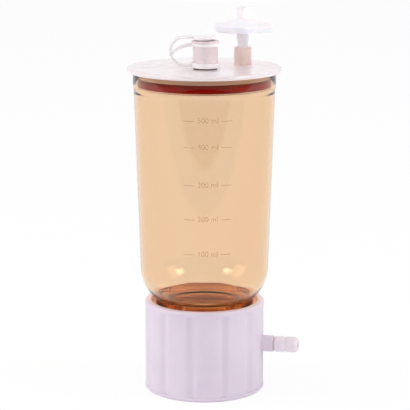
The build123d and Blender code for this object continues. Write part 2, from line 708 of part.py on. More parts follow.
with BuildPart() as cap_tether:
    # Ring round the foot of the port, and ring under its lip
    for ring_r, ring_z, ring_h in (
        (FOOT_RING_R, FOOT_RING_Z, FOOT_RING_H),
        (NECK_RING_R, NECK_RING_Z, NECK_RING_H),
    ):
        with BuildSketch(PORT_PLANE.offset(ring_z)):
            Circle(ring_r)
            Circle(PORT_R + RUNNING_FIT, mode=Mode.SUBTRACT)
        extrude(amount=ring_h)

    # Strap from the foot ring round to the hinge, and its arm to the ring under the lip
    with BuildSketch(TETHER_PLANE):
        with BuildLine():
            Line((FOOT_RING_R - STRAP_ROOT, TETHER_LOW_Z), (bend_x, TETHER_LOW_Z))
            CenterArc(TETHER_BEND_CENTRE, TETHER_BEND_R, -90, 90)
        trace(line_width=TETHER_T)
        with BuildLine():
            RadiusArc(arm_start, arm_end, TETHER_ARM_R)
        trace(line_width=TETHER_T)
    extrude(amount=TETHER_WIDTH / 2, both=True)

write(cap_tether, "cap_tether")

cap_z = PORT_TOP_Z + REST_GAP + CAP_R * sin(radians(CAP_TILT))
cap_plane = Plane(
    origin=TETHER_PLANE.from_local_coords((CAP_SHIFT, cap_z, 0)),
    x_dir=TETHER_PLANE.x_dir * cos(radians(CAP_TILT)) - Vector(0, 0, sin(radians(CAP_TILT))),
    z_dir=TETHER_PLANE.x_dir * sin(radians(CAP_TILT)) + Vector(0, 0, cos(radians(CAP_TILT))),
)

with BuildPart() as port_cap:
    with BuildSketch(cap_plane):
        Circle(CAP_R)
    extrude(amount=CAP_T)
    fillet(port_cap.edges().filter_by(GeomType.CIRCLE), CAP_ROUNDING)
    with BuildSketch(cap_plane):
        Circle(CAP_PLUG_TOP_R)
    extrude(amount=-CAP_PLUG_H, taper=degrees(atan2(CAP_PLUG_TAPER, CAP_PLUG_H)))

    # Strap from the cap round to the hinge
    with BuildSketch(TETHER_PLANE):
        with BuildLine():
            CenterArc(TETHER_BEND_CENTRE, TETHER_BEND_R, 0, 90)
            Line((bend_x, TETHER_HIGH_Z), (CAP_SHIFT + CAP_R - CAP_STRAP_ROOT, TETHER_HIGH_Z))
        trace(line_width=TETHER_T)
    extrude(amount=TETHER_WIDTH / 2, both=True)

write(port_cap, "port_cap")

# ---------------------------------------------------------------- vent filter and its sleeve

luer_bore_z = LID_TOP_Z + NIPPLE_H + REST_GAP
membrane_pocket_r = DISC_R - DISC_WELD
clamp_r = membrane_pocket_r - DISC_CLAMP
membrane_low_z = DISC_MID_Z - VENT_MEMBRANE_T / 2
membrane_high_z = DISC_MID_Z + VENT_MEMBRANE_T / 2

with BuildPart() as vent_sleeve:
    with BuildSketch(VENT_PLANE.offset(LID_TOP_Z)):
        Circle(SLEEVE_R)
    extrude(amount=SLEEVE_H)
    sleeve_edge = vent_sleeve.edges().filter_by(GeomType.CIRCLE).sort_by(Axis.Z)[-1]
    fillet(sleeve_edge, SLEEVE_ROUNDING)
    with BuildSketch(VENT_PLANE.offset(LID_TOP_Z)):
        Circle(NIPPLE_R + RUNNING_FIT)
    extrude(amount=NIPPLE_H + REST_GAP, mode=Mode.SUBTRACT)
    with BuildSketch(VENT_PLANE.offset(luer_bore_z)):
        Circle(LUER_R + RUNNING_FIT)
    extrude(amount=SLEEVE_TOP_Z - luer_bore_z, mode=Mode.SUBTRACT)

write(vent_sleeve, "vent_sleeve")

with BuildPart() as vent_outlet_shell:
    with BuildSketch(VENT_SECTION) as outlet_section:
        with BuildLine():
            Polyline(
                (LUER_BORE_R, LUER_TIP_Z),
                (LUER_TIP_R, LUER_TIP_Z),
                (LUER_R, SLEEVE_TOP_Z),
                (LUER_R, HUB_Z),
                (HUB_R, HUB_Z),
                (HUB_R, HUB_TOP_Z - HUB_NECK_H),
                (DISC_CONE_R, HUB_TOP_Z),
                (DISC_R - DISC_LAND, DISC_Z),
                (DISC_R, DISC_Z),
                (DISC_R, DISC_MID_Z),
                (membrane_pocket_r, DISC_MID_Z),
                (membrane_pocket_r, membrane_low_z),
                (clamp_r, membrane_low_z),
                (clamp_r, DISC_Z + DISC_SKIN),
                (LUER_BORE_R, HUB_TOP_Z + DISC_SKIN),
                close=True,
            )
        make_face()
        lower_rim = outlet_section.vertices().filter_by_position(
            Axis.Y, DISC_Z - RUNNING_FIT, DISC_Z + RUNNING_FIT
        )
        fillet(lower_rim.sort_by(Axis.X)[-1:], DISC_LOWER_ROUNDING)
    revolve(axis=VENT_AXIS)

    # Short ribs round the luer, between the sleeve and the hub
    with BuildSketch(VENT_PLANE.offset(SLEEVE_TOP_Z + REST_GAP)):
        with PolarLocations(LUER_R, LUER_RIBS):
            Rectangle(2 * LUER_RIB, LUER_RIB)
    extrude(amount=LUER_SHOWN - REST_GAP)

write(vent_outlet_shell, "vent_outlet_shell")

with BuildPart() as vent_membrane:
    with BuildSketch(VENT_PLANE.offset(membrane_low_z)):
        Circle(membrane_pocket_r - RUNNING_FIT)
    extrude(amount=VENT_MEMBRANE_T)

write(vent_membrane, "vent_membrane")

with BuildPart() as vent_inlet_shell:
    with BuildSketch(VENT_SECTION) as inlet_section:
        with BuildLine():
            Polyline(
                (membrane_pocket_r, DISC_MID_Z),
                (DISC_R, DISC_MID_Z),
                (DISC_R, DISC_TOP_Z),
                (DISC_R - DISC_LAND, DISC_TOP_Z),
                (DISC_CONE_R, STEM_Z),
                (STEM_R, STEM_Z + HUB_NECK_H),
                (STEM_R, STEM_TOP_Z),
                (STEM_BORE_R, STEM_TOP_Z),
                (STEM_BORE_R, STEM_TOP_Z - STEM_BORE_DEPTH),
                (LUER_BORE_R, STEM_TOP_Z - STEM_BORE_DEPTH),
                (LUER_BORE_R, STEM_Z - DISC_SKIN),
                (clamp_r, DISC_TOP_Z - DISC_SKIN),
                (clamp_r, membrane_high_z),
                (membrane_pocket_r, membrane_high_z),
                close=True,
            )
        make_face()
        upper_rim = inlet_section.vertices().filter_by_position(
            Axis.Y, DISC_TOP_Z - RUNNING_FIT, DISC_TOP_Z + RUNNING_FIT
        )
        fillet(upper_rim.sort_by(Axis.X)[-1:], DISC_UPPER_ROUNDING)
        stem_corner = inlet_section.vertices().group_by(Axis.Y)[-1].sort_by(Axis.X)[-1:]
        fillet(stem_corner, STEM_ROUNDING)
    revolve(axis=VENT_AXIS)

write(vent_inlet_shell, "vent_inlet_shell")
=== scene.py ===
"""Visual model of a vacuum filtration unit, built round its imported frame.

Lengths in the classes below are millimetres, in the frame's own axes: +Z up from the foot, and +X
along the hose barb. Meshes are turned into metres when they become objects.
"""

from __future__ import annotations

import logging
import math
from dataclasses import dataclass
from enum import Enum
from typing import Sequence

import bmesh
import bpy
from bpy.types import (
    ID,
    Material,
    Node,
    NodeInputs,
    NodeOutputs,
    NodeSocket,
    Object,
    ShaderNodeTree,
)
from mathutils import Matrix, Vector


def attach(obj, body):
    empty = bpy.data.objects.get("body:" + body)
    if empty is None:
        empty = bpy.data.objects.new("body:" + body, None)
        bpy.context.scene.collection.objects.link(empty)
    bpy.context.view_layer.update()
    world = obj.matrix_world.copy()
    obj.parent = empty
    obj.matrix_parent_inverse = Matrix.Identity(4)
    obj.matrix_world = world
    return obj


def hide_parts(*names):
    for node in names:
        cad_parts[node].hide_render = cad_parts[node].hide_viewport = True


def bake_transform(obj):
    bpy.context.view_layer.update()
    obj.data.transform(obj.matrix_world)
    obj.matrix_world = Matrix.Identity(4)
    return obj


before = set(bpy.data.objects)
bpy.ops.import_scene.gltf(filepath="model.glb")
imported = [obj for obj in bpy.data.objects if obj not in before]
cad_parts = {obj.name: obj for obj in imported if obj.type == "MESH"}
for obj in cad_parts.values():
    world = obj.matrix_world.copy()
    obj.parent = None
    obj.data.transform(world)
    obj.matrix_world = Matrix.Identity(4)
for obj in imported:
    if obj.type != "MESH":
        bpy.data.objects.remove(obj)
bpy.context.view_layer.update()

LOG = logging.getLogger("filtration_unit")
MM = 0.001
TURN = 2.0 * math.pi
UP = Vector((0.0, 0.0, 1.0))
# Where the object's front is, in radians round from -Y.
FRONT_AZIMUTH = math.radians(12.0)
# How far each screw thread rises in a turn, in millimetres.
THREAD_PITCH = 4.0
# The places of a Mix node's colour inputs and of its colour output.
MIX_FIRST, MIX_SECOND, MIX_RESULT = 6, 7, 2
# The values that noise hardly ever goes beyond.
NOISE_RANGE = (0.3, 0.7)
# The angle past which an edge stays sharp, in degrees, on hard pieces and on soft ones.
CREASE = 32.0
SOFT_CREASE = 50.0

Colour = tuple[float, float, float, float]
WHITE: Colour = (1.0, 1.0, 1.0, 1.0)


class Body(str, Enum):
    """The moving bodies of the frame."""

    HOLDER = "holder"
    FUNNEL = "funnel"
    SEAL = "seal"
    LID = "lid"
    CAP = "cap"
    VENT = "vent"


class Slot(str, Enum):
    """The names of the record's material slots."""

    AMBER = "amber_plastic"
    HOLDER = "holder_plastic"
    CAP = "cap_silicone"
    SEAL = "red_silicone"
    VENT = "vent_plastic"


def srgb(red: int, green: int, blue: int) -> Colour:
    """Gives the linear colour of an 8-bit display colour.

    Args:
        red: Red, 0 to 255.
        green: Green, 0 to 255.
        blue: Blue, 0 to 255.

    Returns:
        The linear colour with an alpha of 1.
    """

    def linear(value: int) -> float:
        """Gives the linear share of one 8-bit part."""
        share = value / 255.0
        return share / 12.92 if share <= 0.04045 else ((share + 0.055) / 1.055) ** 2.4

    return (linear(red), linear(green), linear(blue), 1.0)


# ---------------------------------------------------------------- shader effects


class Graph:
    """A node tree, with short ways to add its nodes and to join them."""

    def __init__(self, tree: ShaderNodeTree) -> None:
        """Takes the tree that gets the nodes."""
        self.tree = tree

    def node(self, kind: str, **settings: object) -> Node:
        """Adds a node and sets its properties.

        Args:
            kind: The node's type name without the ShaderNode prefix.
            **settings: Properties of the node.

        Returns:
            The new node.
        """
        made = self.tree.nodes.new("ShaderNode" + kind)
        for name, value in settings.items():
            setattr(made, name, value)
        return made

    def feed(self, target: NodeSocket, value: NodeSocket | float | Colour) -> None:
        """Joins an output to an input, or sets the input to a plain value.

        Args:
            target: The input.
            value: The output or the value that it gets.
        """
        if isinstance(value, NodeSocket):
            self.tree.links.new(value, target)
        else:
            target.default_value = value

    def maths(self, operation: str, *values: NodeSocket | float) -> NodeSocket:
        """Works one value out of others.

        Args:
            operation: What is done with them.
            *values: The values, in the operation's order.

        Returns:
            The result.
        """
        made = self.node("Math", operation=operation)
        for target, value in zip(made.inputs, values):
            self.feed(target, value)
        return made.outputs[0]

    def mapped(
        self,
        value: NodeSocket,
        source: tuple[NodeSocket | float, NodeSocket | float],
        target: tuple[NodeSocket | float, NodeSocket | float] = (0.0, 1.0),
        easing: str = "LINEAR",
    ) -> NodeSocket:
        """Maps a value from one range onto another.

        Args:
            value: The value.
            source: The ends of the range that it comes from.
            target: What those ends become.
            easing: How it goes from one end to the other.

        Returns:
            The mapped value.
        """
        made = self.node("MapRange", interpolation_type=easing)
        self.feed(made.inputs["Value"], value)
        for label, end in zip(("From Min", "From Max", "To Min", "To Max"), source + target):
            self.feed(made.inputs[label], end)
        return made.outputs["Result"]

    def blend(
        self, share: NodeSocket, first: NodeSocket | Colour, second: NodeSocket | Colour
    ) -> NodeSocket:
        """Mixes two colours.

        Args:
            share: How much of the second colour shows.
            first: The colour at 0.
            second: The colour at 1.

        Returns:
            The mixed colour.
        """
        made = self.node("Mix", data_type="RGBA")
        self.feed(made.inputs["Factor"], share)
        self.feed(made.inputs[MIX_FIRST], first)
        self.feed(made.inputs[MIX_SECOND], second)
        return made.outputs[MIX_RESULT]

    def either(self, share: NodeSocket, first: NodeSocket, second: NodeSocket) -> NodeSocket:
        """Mixes two shaders.

        Args:
            share: How much of the second shader shows.
            first: The shader at 0.
            second: The shader at 1.

        Returns:
            The mixed shader.
        """
        made = self.node("MixShader")
        for target, value in zip(made.inputs, (share, first, second)):
            self.feed(target, value)
        return made.outputs[0]


class EffectGroup(Graph):
    """A shader node group that is built once and placed in each material with its own values."""

    def __init__(self, name: str, inputs: dict[str, object], outputs: dict[str, str]) -> None:
        """Makes the group's sockets.

        Args:
            name: The group's name.
            inputs: Each input's name and default. A tuple makes a colour, a number a value.
            outputs: Each output's name and socket type.
        """
        super().__init__(bpy.data.node_groups.new(name, "ShaderNodeTree"))
        for label, default in inputs.items():
            kind = "NodeSocketColor" if isinstance(default, tuple) else "NodeSocketFloat"
            socket = self.tree.interface.new_socket(label, in_out="INPUT", socket_type=kind)
            socket.default_value = default
        for label, kind in outputs.items():
            self.tree.interface.new_socket(label, in_out="OUTPUT", socket_type=kind)
        self.given = self.tree.nodes.new("NodeGroupInput").outputs
        self.sink = self.tree.nodes.new("NodeGroupOutput").inputs

    def noise(
        self,
        scale: NodeSocket | float,
        detail: float,
        stretch: tuple[float, float, float] = (1.0, 1.0, 1.0),
    ) -> NodeSocket:
        """Adds noise on Object coordinates.

        Args:
            scale: How many cells it has in a metre.
            detail: How many octaves it has.
            stretch: How much the coordinates are scaled along each axis.

        Returns:
            The noise's value.
        """
        mapping = self.node("Mapping")
        mapping.inputs["Scale"].default_value = stretch
        self.feed(mapping.inputs["Vector"], self.node("TexCoord").outputs["Object"])
        made = self.node("TexNoise")
        made.inputs["Detail"].default_value = detail
        made.inputs["Roughness"].default_value = 0.55
        self.feed(made.inputs["Vector"], mapping.outputs["Vector"])
        self.feed(made.inputs["Scale"], scale)
        return made.outputs["Fac"]

    def give_tone(self, share: NodeSocket) -> None:
        """Gives a colour between the group's Colour and its Shade."""
        tone = self.blend(share, self.given["Colour"], self.given["Shade"])
        self.feed(self.sink["Colour"], tone)

    def give_polish(self, noise: NodeSocket) -> None:
        """Gives a roughness that follows noise, from the group's Polish up by its Polish Spread.

        Args:
            noise: The noise.
        """
        polish = self.given["Polish"]
        scuffed = self.maths("ADD", polish, self.given["Polish Spread"])
        self.feed(self.sink["Roughness"], self.mapped(noise, NOISE_RANGE, (polish, scuffed)))

    def give_relief(self, height: NodeSocket, strength: NodeSocket, distance: float) -> None:
        """Gives a normal that follows a height.

        Args:
            height: The height, 0 to 1.
            strength: How strongly it shows.
            distance: What a height of 1 stands for, in metres.
        """
        made = self.node("Bump")
        made.inputs["Distance"].default_value = distance
        self.feed(made.inputs["Height"], height)
        self.feed(made.inputs["Strength"], strength)
        self.feed(self.sink["Normal"], made.outputs["Normal"])


SKIN_OUTPUTS = {
    "Colour": "NodeSocketColor",
    "Roughness": "NodeSocketFloat",
    "Normal": "NodeSocketVector",
}


def moulded_skin() -> EffectGroup:
    """Builds the skin of a moulded piece: broad tone patches, fine grain and uneven polish.

    Returns:
        The group, with outputs Colour, Roughness and Normal.
    """
    group = EffectGroup(
        "moulded_skin",
        {
            "Colour": (0.8, 0.8, 0.8, 1.0),
            "Shade": (0.7, 0.7, 0.7, 1.0),
            "Patch Scale": 40.0,
            "Grain Scale": 2500.0,
            "Grain": 0.1,
            "Polish": 0.3,
            "Polish Spread": 0.1,
        },
        SKIN_OUTPUTS,
    )
    given = group.given
    patches = group.noise(given["Patch Scale"], detail=3.0)
    scuffs = group.noise(given["Patch Scale"], detail=6.0, stretch=(3.0, 3.0, 1.3))
    grain = group.noise(given["Grain Scale"], detail=2.0)
    group.give_tone(group.mapped(patches, NOISE_RANGE))
    group.give_polish(scuffs)
    group.give_relief(grain, given["Grain"], distance=0.00006)
    return group


def flow_marks() -> EffectGroup:
    """Builds the faint upright flow marks and ripples of a clear moulding.

    Returns:
        The group, with outputs Colour, Roughness and Normal.
    """
    group = EffectGroup(
        "flow_marks",
        {
            "Colour": (0.9, 0.75, 0.6, 1.0),
            "Shade": (0.8, 0.65, 0.5, 1.0),
            "Ripple": 0.1,
            "Polish": 0.02,
            "Polish Spread": 0.02,
        },
        SKIN_OUTPUTS,
    )
    drift = group.noise(22.0, detail=2.0, stretch=(1.0, 1.0, 0.25))
    smear = group.noise(60.0, detail=4.0, stretch=(1.0, 1.0, 0.4))
    ripple = group.noise(45.0, detail=1.0, stretch=(1.0, 1.0, 0.12))
    group.give_tone(group.mapped(drift, NOISE_RANGE))
    group.give_polish(smear)
    group.give_relief(ripple, group.given["Ripple"], distance=0.0004)
    return group


def let_through() -> EffectGroup:
    """Builds the tint of the light that a clear moulding lets through, darkened in its rim band as
    painted shade for the shade under the lid.

    Returns:
        The group, with the output Colour.
    """
    group = EffectGroup(
        "let_through",
        {
            "Wall": (0.9, 0.85, 0.8, 1.0),
            "Band": (0.6, 0.45, 0.4, 1.0),
            "Band Foot": 0.19,
            "Band Run": 0.003,
        },
        {"Colour": "NodeSocketColor"},
    )
    given = group.given
    parts = group.node("SeparateXYZ")
    group.feed(parts.inputs[0], group.node("TexCoord").outputs["Object"])
    run_end = group.maths("ADD", given["Band Foot"], given["Band Run"])
    run = (given["Band Foot"], run_end)
    # painted shade: above Band Foot the light let through is darkened to the Band colour
    share = group.mapped(parts.outputs["Z"], run, easing="SMOOTHSTEP")
    group.feed(group.sink["Colour"], group.blend(share, given["Wall"], given["Band"]))
    return group


def fibre_mat() -> EffectGroup:
    """Builds the felted face of a filter membrane.

    Returns:
        The group, with outputs Colour, Roughness and Normal.
    """
    group = EffectGroup(
        "fibre_mat",
        {
            "Colour": (0.9, 0.9, 0.9, 1.0),
            "Shade": (0.8, 0.8, 0.8, 1.0),
            "Fibre Scale": 1800.0,
            "Relief": 0.4,
        },
        SKIN_OUTPUTS,
    )
    given = group.given
    along = group.noise(given["Fibre Scale"], detail=5.0, stretch=(1.0, 0.2, 1.0))
    across = group.noise(given["Fibre Scale"], detail=5.0, stretch=(0.2, 1.0, 1.0))
    felt = group.maths("MAXIMUM", along, across)
    # painted shade: the hollows between the fibres take the darker Shade colour
    group.give_tone(group.mapped(felt, NOISE_RANGE, (1.0, 0.0)))
    group.feed(group.sink["Roughness"], group.mapped(felt, NOISE_RANGE, (0.95, 0.8)))
    group.give_relief(felt, given["Relief"], distance=0.00008)
    return group


class Effect(Enum):
    """The shader effects, by the name of the group that makes each."""

    MOULDED_SKIN = "moulded_skin"
    FLOW_MARKS = "flow_marks"
    LET_THROUGH = "let_through"
    FIBRE_MAT = "fibre_mat"


EFFECT_BUILDERS = {
    Effect.MOULDED_SKIN: moulded_skin,
    Effect.FLOW_MARKS: flow_marks,
    Effect.LET_THROUGH: let_through,
    Effect.FIBRE_MAT: fibre_mat,
}


def effect_tree(effect: Effect) -> ShaderNodeTree:
    """Gives an effect's node group, and builds it on first use."""
    made = bpy.data.node_groups.get(effect.value)
    return made if made is not None else EFFECT_BUILDERS[effect]().tree


# ---------------------------------------------------------------- finishes


def fill(inputs: NodeInputs, values: dict[str, float | Colour]) -> None:
    """Sets inputs to values whose names have underscores for spaces."""
    for label, value in values.items():
        inputs[label.replace("_", " ")].default_value = value


class MaterialDraft(Graph):
    """A material with a Principled shader that takes its colour, polish and normal from an effect.

    Inputs are named as in their nodes, with underscores for spaces.
    """

    def __init__(self, name: str, effect: Effect, **values: float | Colour) -> None:
        """Places the effect and joins it to the shader.

        Args:
            name: The material's name.
            effect: The effect that shapes the surface.
            **values: Values for the effect's inputs.
        """
        self.material: Material = bpy.data.materials.new(name)
        self.material.use_nodes = True
        super().__init__(self.material.node_tree)
        self.shader = self.tree.nodes["Principled BSDF"]
        surface = self.placed(effect, **values)
        self.feed(self.shader.inputs["Base Color"], surface["Colour"])
        self.feed(self.shader.inputs["Roughness"], surface["Roughness"])
        self.feed(self.shader.inputs["Normal"], surface["Normal"])

    def placed(self, effect: Effect, **values: float | Colour) -> NodeOutputs:
        """Places an effect with its own values.

        Args:
            effect: The effect.
            **values: Values for its inputs.

        Returns:
            The effect's outputs.
        """
        made = self.node("Group", node_tree=effect_tree(effect))
        fill(made.inputs, values)
        return made.outputs

    def set(self, **values: float | Colour) -> MaterialDraft:
        """Sets the shader's own inputs, and gives the draft itself."""
        fill(self.shader.inputs, values)
        return self


@dataclass(frozen=True)
class Finish:
    """What every opaque finish has.

    Attributes:
        name: The material's name.
        colour: Its main colour.
        shade: The colour of its darker patches.
    """

    name: str
    colour: Colour
    shade: Colour


@dataclass(frozen=True)
class MouldedPlastic(Finish):
    """An opaque moulded plastic.

    Attributes:
        polish: Its roughness.
        polish_spread: How much rougher its scuffed places are.
        grain: How strongly its grain shows.
        grain_scale: Grain cells per metre.
        patch_scale: Tone patches per metre.
        coat: How much of a gloss skin it has.
        glow_depth: How much light scatters under its skin.
    """

    polish: float = 0.32
    polish_spread: float = 0.1
    grain: float = 0.12
    grain_scale: float = 2600.0
    patch_scale: float = 38.0
    coat: float = 0.0
    glow_depth: float = 0.0

    def build(self) -> Material:
        """Makes the material.

        Returns:
            The material, with its nodes.
        """
        draft = MaterialDraft(
            self.name,
            Effect.MOULDED_SKIN,
            Colour=self.colour,
            Shade=self.shade,
            Patch_Scale=self.patch_scale,
            Grain_Scale=self.grain_scale,
            Grain=self.grain,
            Polish=self.polish,
            Polish_Spread=self.polish_spread,
        )
        draft.set(IOR=1.49, Coat_Weight=self.coat, Coat_Roughness=0.12)
        if self.glow_depth > 0.0:
            draft.set(Subsurface_Weight=self.glow_depth, Subsurface_Scale=0.002)
        return draft.material


@dataclass(frozen=True)
class SoftRubber(Finish):
    """A silicone or rubber with a soft sheen.

    Attributes:
        polish: Its roughness.
        sheen: How much soft bloom it has.
        gloss: How strongly it mirrors where it is seen straight on.
    """

    polish: float = 0.45
    sheen: float = 0.15
    gloss: float = 0.5

    def build(self) -> Material:
        """Makes the material.

        Returns:
            The material, with its nodes.
        """
        draft = MaterialDraft(
            self.name,
            Effect.MOULDED_SKIN,
            Colour=self.colour,
            Shade=self.shade,
            Patch_Scale=90.0,
            Grain_Scale=4200.0,
            Grain=0.2,
            Polish=self.polish,
            Polish_Spread=0.12,
        )
        draft.set(IOR=1.43, Specular_IOR_Level=self.gloss)
        return draft.set(Sheen_Weight=self.sheen, Sheen_Roughness=0.4).material


@dataclass(frozen=True)
class ClearPolymer:
    """A clear plastic that is tinted in its depth, and lets light through to what it encloses.

    Attributes:
        name: The material's name.
        tint: The tint that each face gives to what is seen through it.
        shade: The tint along its flow marks.
        lamp_tint: The tint that each face of its wall gives to light that passes through it.
        band_shade_tint: The same of its rim band, darker as painted shade for the shade under the
            lid.
        band_foot: Height of the rim band's foot, in metres.
        body_colour: The colour that its depth keeps.
        body_density: How strongly its depth takes up the rest, per metre.
        ior: Its index of refraction.
        gloss: How strongly it mirrors where it is seen straight on.
        ripple: How strongly its ripples show.
    """

    name: str
    tint: Colour
    shade: Colour
    lamp_tint: Colour
    band_shade_tint: Colour
    band_foot: float
    body_colour: Colour
    body_density: float
    ior: float = 1.42
    gloss: float = 0.75
    ripple: float = 0.12

    def build(self) -> Material:
        """Makes the material.

        Returns:
            The material, with its nodes.
        """
        draft = MaterialDraft(
            self.name,
            Effect.FLOW_MARKS,
            Colour=self.tint,
            Shade=self.shade,
            Ripple=self.ripple,
            Polish=0.015,
            Polish_Spread=0.03,
        )
        draft.set(IOR=self.ior, Transmission_Weight=1.0, Specular_IOR_Level=self.gloss)
        tints = draft.placed(
            Effect.LET_THROUGH,
            Wall=self.lamp_tint,
            Band=self.band_shade_tint,
            Band_Foot=self.band_foot,
        )
        through = draft.node("BsdfTransparent")
        draft.feed(through.inputs["Color"], tints["Colour"])
        lit_through = draft.node("LightPath").outputs["Is Shadow Ray"]
        seen = draft.either(lit_through, draft.shader.outputs["BSDF"], through.outputs["BSDF"])
        depth = draft.node("VolumeAbsorption")
        depth.inputs["Color"].default_value = self.body_colour
        depth.inputs["Density"].default_value = self.body_density
        output = draft.tree.nodes["Material Output"].inputs
        draft.feed(output["Surface"], seen)
        draft.feed(output["Volume"], depth.outputs["Volume"])
        return draft.material


@dataclass(frozen=True)
class FilterPaper(Finish):
    """A matt felted membrane, whose shade lies between its fibres."""

    def build(self) -> Material:
        """Makes the material."""
        draft = MaterialDraft(self.name, Effect.FIBRE_MAT, Colour=self.colour, Shade=self.shade)
        return draft.set(IOR=1.35, Subsurface_Weight=0.1, Subsurface_Scale=0.001).material


@dataclass(frozen=True)
class PrintedInk:
    """A thin translucent print.

    Attributes:
        name: The material's name.
        colour: Its main colour.
        cover: How much of what is behind it the print hides.
    """

    name: str
    colour: Colour
    cover: float = 0.5

    def build(self) -> Material:
        """Makes the material.

        Returns:
            The material, with its nodes.
        """
        draft = MaterialDraft(
            self.name,
            Effect.MOULDED_SKIN,
            Colour=self.colour,
            Shade=self.colour,
            Patch_Scale=400.0,
            Grain=0.3,
            Polish=0.5,
            Polish_Spread=0.2,
        )
        return draft.set(Alpha=self.cover).material


class Finishes:
    """Every material of the unit, made once."""

    def __init__(self) -> None:
        """Makes the materials."""
        self.holder = MouldedPlastic(
            "holder_white", srgb(234, 222, 236), srgb(228, 215, 231), polish=0.34, glow_depth=0.08
        ).build()
        # painted light: a lighter copy of the holder's white, so the barb looks more strongly lit
        self.nozzle = MouldedPlastic(
            "nozzle_white_painted_light", srgb(252, 242, 251), srgb(246, 235, 245), polish=0.4, patch_scale=120.0
        ).build()
        self.lid = MouldedPlastic(
            "lid_white",
            srgb(246, 235, 238),
            srgb(241, 229, 232),
            polish=0.16,
            polish_spread=0.12,
            grain=0.06,
            coat=0.25,
            glow_depth=0.08,
        ).build()
        # painted shade: a darker copy of the lid's white, so the fill port looks more shaded
        self.port = MouldedPlastic(
            "port_white_painted_shade", srgb(238, 223, 225), srgb(229, 213, 215), polish=0.22, patch_scale=110.0
        ).build()
        # painted shade: the washer's dark grey stands for the shadow line at the foot of the fill
        # port
        self.washer = SoftRubber("washer_grey_painted_shade", srgb(120, 96, 94), srgb(98, 78, 76)).build()
        self.vent = MouldedPlastic(
            "vent_white",
            srgb(251, 246, 252),
            srgb(247, 241, 249),
            polish=0.28,
            patch_scale=80.0,
            glow_depth=0.2,
        ).build()
        self.screen = MouldedPlastic(
            "screen_white", srgb(226, 222, 220), srgb(216, 211, 208), polish=0.45
        ).build()
        self.amber = ClearPolymer(
            "amber_clear",
            tint=srgb(248, 237, 223),
            shade=srgb(247, 234, 219),
            lamp_tint=srgb(248, 243, 237),
            # painted shade: the darker tint of light through the rim band stands for the shade under
            # the lid
            band_shade_tint=srgb(180, 129, 128),
            band_foot=0.1885,
            body_colour=(0.936, 0.587, 0.14, 1.0),
            body_density=100.0,
        ).build()
        self.membrane = FilterPaper(
            "membrane_white", srgb(243, 240, 234), srgb(226, 221, 212)
        ).build()
        self.clear_rubber = SoftRubber(
            "gasket_clear", srgb(214, 200, 190), srgb(200, 186, 176), polish=0.3
        ).build()
        self.red_rubber = SoftRubber(
            "seal_red", srgb(168, 10, 10), srgb(148, 6, 6), sheen=0.0, gloss=0.05
        ).build()
        self.tan_rubber = SoftRubber(
            "sleeve_tan", srgb(233, 211, 203), srgb(220, 197, 188), polish=0.36
        ).build()
        self.cap_rubber = SoftRubber(
            "cap_white", srgb(252, 247, 249), srgb(247, 240, 243), polish=0.42
        ).build()
        self.ink = PrintedInk("scale_print", srgb(158, 122, 88), cover=0.31).build()


def dress(material: Material, *nodes: str) -> None:
    """Gives CAD nodes their material.

    Args:
        material: What they are made of.
        *nodes: Their names.
    """
    for node in nodes:
        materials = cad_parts[node].data.materials
        materials.clear()
        materials.append(material)
        LOG.info("dressed %s in %s", node, material.name)


# ---------------------------------------------------------------- mesh helpers


@dataclass(frozen=True)
class Corner:
    """A corner of a turned profile.

    Attributes:
        radius: Its distance from the axis.
        height: Its height.
        cut_back: How far the rounding starts from the corner along both of its edges.
        steps: How many facets the rounding has.
    """

    radius: float
    height: float
    cut_back: float = 0.0
    steps: int = 4


def round_off(
    bm: bmesh.types.BMesh, verts: list[bmesh.types.BMVert], cut_back: float, steps: int
) -> None:
    """Rounds the corners of a flat outline.

    Args:
        bm: The mesh.
        verts: The corners.
        cut_back: How far each rounding starts from its corner.
        steps: How many facets each has.
    """
    bmesh.ops.bevel(
        bm,
        geom=verts,
        offset=cut_back,
        offset_type="OFFSET",
        segments=steps,
        profile=0.5,
        affect="VERTICES",
        material=-1,
    )


def turned(profile: Sequence[Corner], steps: int = 96) -> bmesh.types.BMesh:
    """Turns a closed profile round the upright axis.

    Args:
        profile: The profile's corners in order.
        steps: How many facets the turning has.

    Returns:
        The turned mesh.
    """
    bm = bmesh.new()
    verts = [bm.verts.new((corner.radius, 0.0, corner.height)) for corner in profile]
    for first, second in zip(verts, verts[1:] + verts[:1]):
        bm.edges.new((first, second))
    for vert, corner in zip(verts, profile):
        if corner.cut_back > 0.0:
            round_off(bm, [vert], corner.cut_back, corner.steps)
    bmesh.ops.spin(
        bm,
        geom=bm.verts[:] + bm.edges[:],
        cent=(0.0, 0.0, 0.0),
        axis=UP,
        angle=TURN,
        steps=steps,
        use_merge=True,
    )
    tidy(bm)
    return bm


def tidy(bm: bmesh.types.BMesh) -> None:
    """Merges doubled vertices and points every face outwards.

    Args:
        bm: The mesh.
    """
    bmesh.ops.remove_doubles(bm, verts=bm.verts, dist=0.0005)
    bmesh.ops.dissolve_degenerate(bm, edges=bm.edges, dist=0.0001)
    bmesh.ops.recalc_face_normals(bm, faces=bm.faces)


def linked(name: str, data: ID) -> Object:
    """Adds an object to the scene.

    Args:
        name: The object's name.
        data: Its mesh, curve, lamp or camera.

    Returns:
        The object, at the origin.
    """
    made = bpy.data.objects.new(name, data)
    bpy.context.scene.collection.objects.link(made)
    return made


